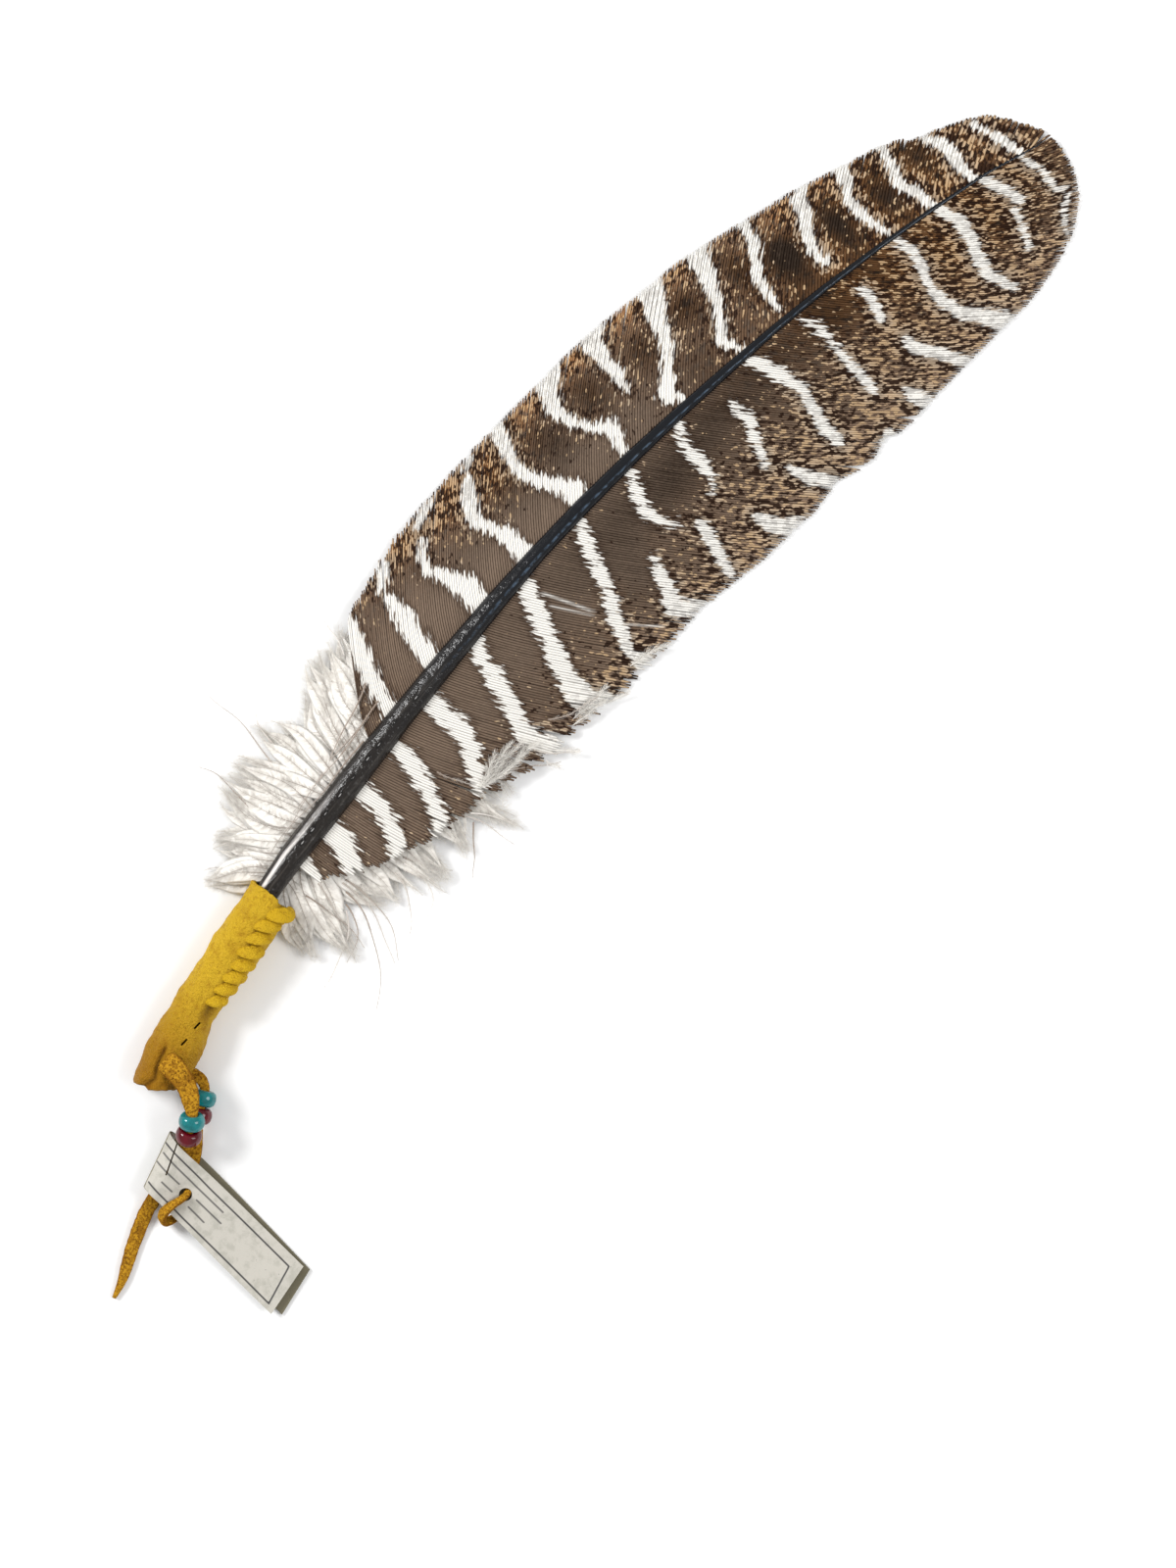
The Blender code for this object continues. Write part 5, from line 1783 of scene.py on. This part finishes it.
class FEATHER_OT_down(bpy.types.Operator):
    """Makes the fluffy down, the loose tufts and the long stray filaments"""

    bl_idname = "feather.down"
    bl_label = "Down"

    def execute(self, context):
        settings = context.scene.down_settings
        material = down_material(settings)
        rng = np.random.default_rng(29)
        spacing = settings.barbule_spacing / MM
        length = settings.barbule_length / MM
        for name, side, table in (("down_wide", -1, WIDE_DOWN), ("down_narrow", 1, NARROW_DOWN)):
            rami = curved_paths(*down_rami(side, table, settings.barb_count, rng), RAMUS_RINGS)
            half = len(rami) // 2
            for part, chosen in (("low", rami[:half]), ("high", rami[half:])):
                fluff = fluff_paths(chosen, spacing, length, rng)
                self.add_hairs(f"{name}_{part}", fluff, BARBULE_HAIR, TONE_WHITE, material)
            self.add_hairs(f"{name}_shafts", rami, RAMUS_HAIR, 0.5, material)
            self.add_web(f"{name}_web", rami, rng, material)
        self.add_tufts(material, length, rng)
        self.add_wisps(material, length, rng)
        return {"FINISHED"}

    def add_hairs(self, name, paths, hair, tone, material):
        radius, tip, sides = hair
        taper = np.linspace(1.0, tip, paths.shape[1])[None, :]
        apart = np.abs(paths[:, 0, 0] - column(SHAFT, paths[:, 0, 1], 1))
        tones = np.array(tone) + DUSKY * np.exp(-apart / DUSKY_REACH)
        mesh = hair_mesh(name, paths, radius * np.repeat(taper, len(paths), axis=0), sides, tones)
        add_piece(name, mesh, material, "feather", "feather")

    def add_web(self, name, rami, rng, material):
        """Flat pale blades just under the barbules, which give the down its body."""
        share = np.linspace(0.0, 1.0, rami.shape[1])[None, :]
        width = rng.uniform(*WEB_WIDTH, (len(rami), 1)) * (0.15 + np.sin(math.pi * share**0.75)) * 0.8
        width *= np.clip((1.0 - share) / 0.3, 0.05, 1.0)
        lowered = rami - np.array((0.0, 0.0, WEB_DROP))
        mesh = hair_mesh(name, lowered, width, 8, np.full(len(rami), 0.02), WEB_FLAT)
        add_piece(name, mesh, material, "feather", "feather")

    def add_tufts(self, material, length, rng):
        roots, tips = (np.array(ends, dtype=float) for ends in zip(*TUFTS))
        middle = 0.5 * (roots + tips) + rng.normal(0, 0.9, roots.shape)
        lifted = []
        for places, rise in zip((roots, middle, tips), TUFT_RISES):
            lifted.append(np.column_stack([places, vane_heights(places, NARROW_EDGE) + rise]))
        rami = curved_paths(*lifted, RAMUS_RINGS)
        fluff = fluff_paths(rami, TUFT_SPACING, 0.75 * length, rng, TUFT_SPREAD)
        self.add_hairs("tuft_fluff", fluff, TUFT_FLUFF_HAIR, 0.0, material)
        self.add_hairs("tuft_shafts", rami, TUFT_SHAFT_HAIR, 0.1, material)

    def add_wisps(self, material, length, rng):
        roots, middles, tips, heights, tones = zip(*WISPS)
        lifted = []
        for places, rise in ((roots, 2.0), (middles, 1.0), (tips, 0.0)):
            lifted.append(np.column_stack([np.array(places, dtype=float), np.add(heights, rise)]))
        rami = curved_paths(*lifted, RAMUS_RINGS)
        self.add_hairs("stray_shafts", rami, STRAY_SHAFT_HAIR, tones, material)
        fluff = fluff_paths(rami, STRAY_SPACING, 0.35 * length, rng, STRAY_SPREAD)
        self.add_hairs("stray_fluff", fluff, STRAY_FLUFF_HAIR, 0.3, material)


OPERATORS = (
    FEATHER_OT_stage,
    FEATHER_OT_laces,
    FEATHER_OT_beads,
    FEATHER_OT_tag,
    FEATHER_OT_handle,
    FEATHER_OT_shaft,
    FEATHER_OT_vanes,
    FEATHER_OT_down,
)


class FEATHER_PT_panel(bpy.types.Panel):
    """Lists the feather's pieces and their settings"""

    bl_label = "Turkey Wing Feather"
    bl_idname = "FEATHER_PT_panel"
    bl_space_type = "VIEW_3D"
    bl_region_type = "UI"
    bl_category = "Feather"

    def draw(self, context):
        for operator in OPERATORS:
            self.layout.operator(operator.bl_idname)
        for name in SETTINGS:
            box = self.layout.box()
            group = getattr(context.scene, name)
            for key in group.bl_rna.properties.keys():
                if key not in ("rna_type", "name"):
                    box.prop(group, key)


def register():
    for name, group in SETTINGS.items():
        bpy.utils.register_class(group)
        setattr(bpy.types.Scene, name, bpy.props.PointerProperty(type=group))
    for operator in OPERATORS:
        bpy.utils.register_class(operator)
    bpy.utils.register_class(FEATHER_PT_panel)


def unregister():
    bpy.utils.unregister_class(FEATHER_PT_panel)
    for operator in reversed(OPERATORS):
        bpy.utils.unregister_class(operator)
    for name, group in SETTINGS.items():
        delattr(bpy.types.Scene, name)
        bpy.utils.unregister_class(group)


def main():
    register()
    for operator in OPERATORS:
        group, name = operator.bl_idname.split(".")
        getattr(getattr(bpy.ops, group), name)()


if __name__ == "__main__":
    main()
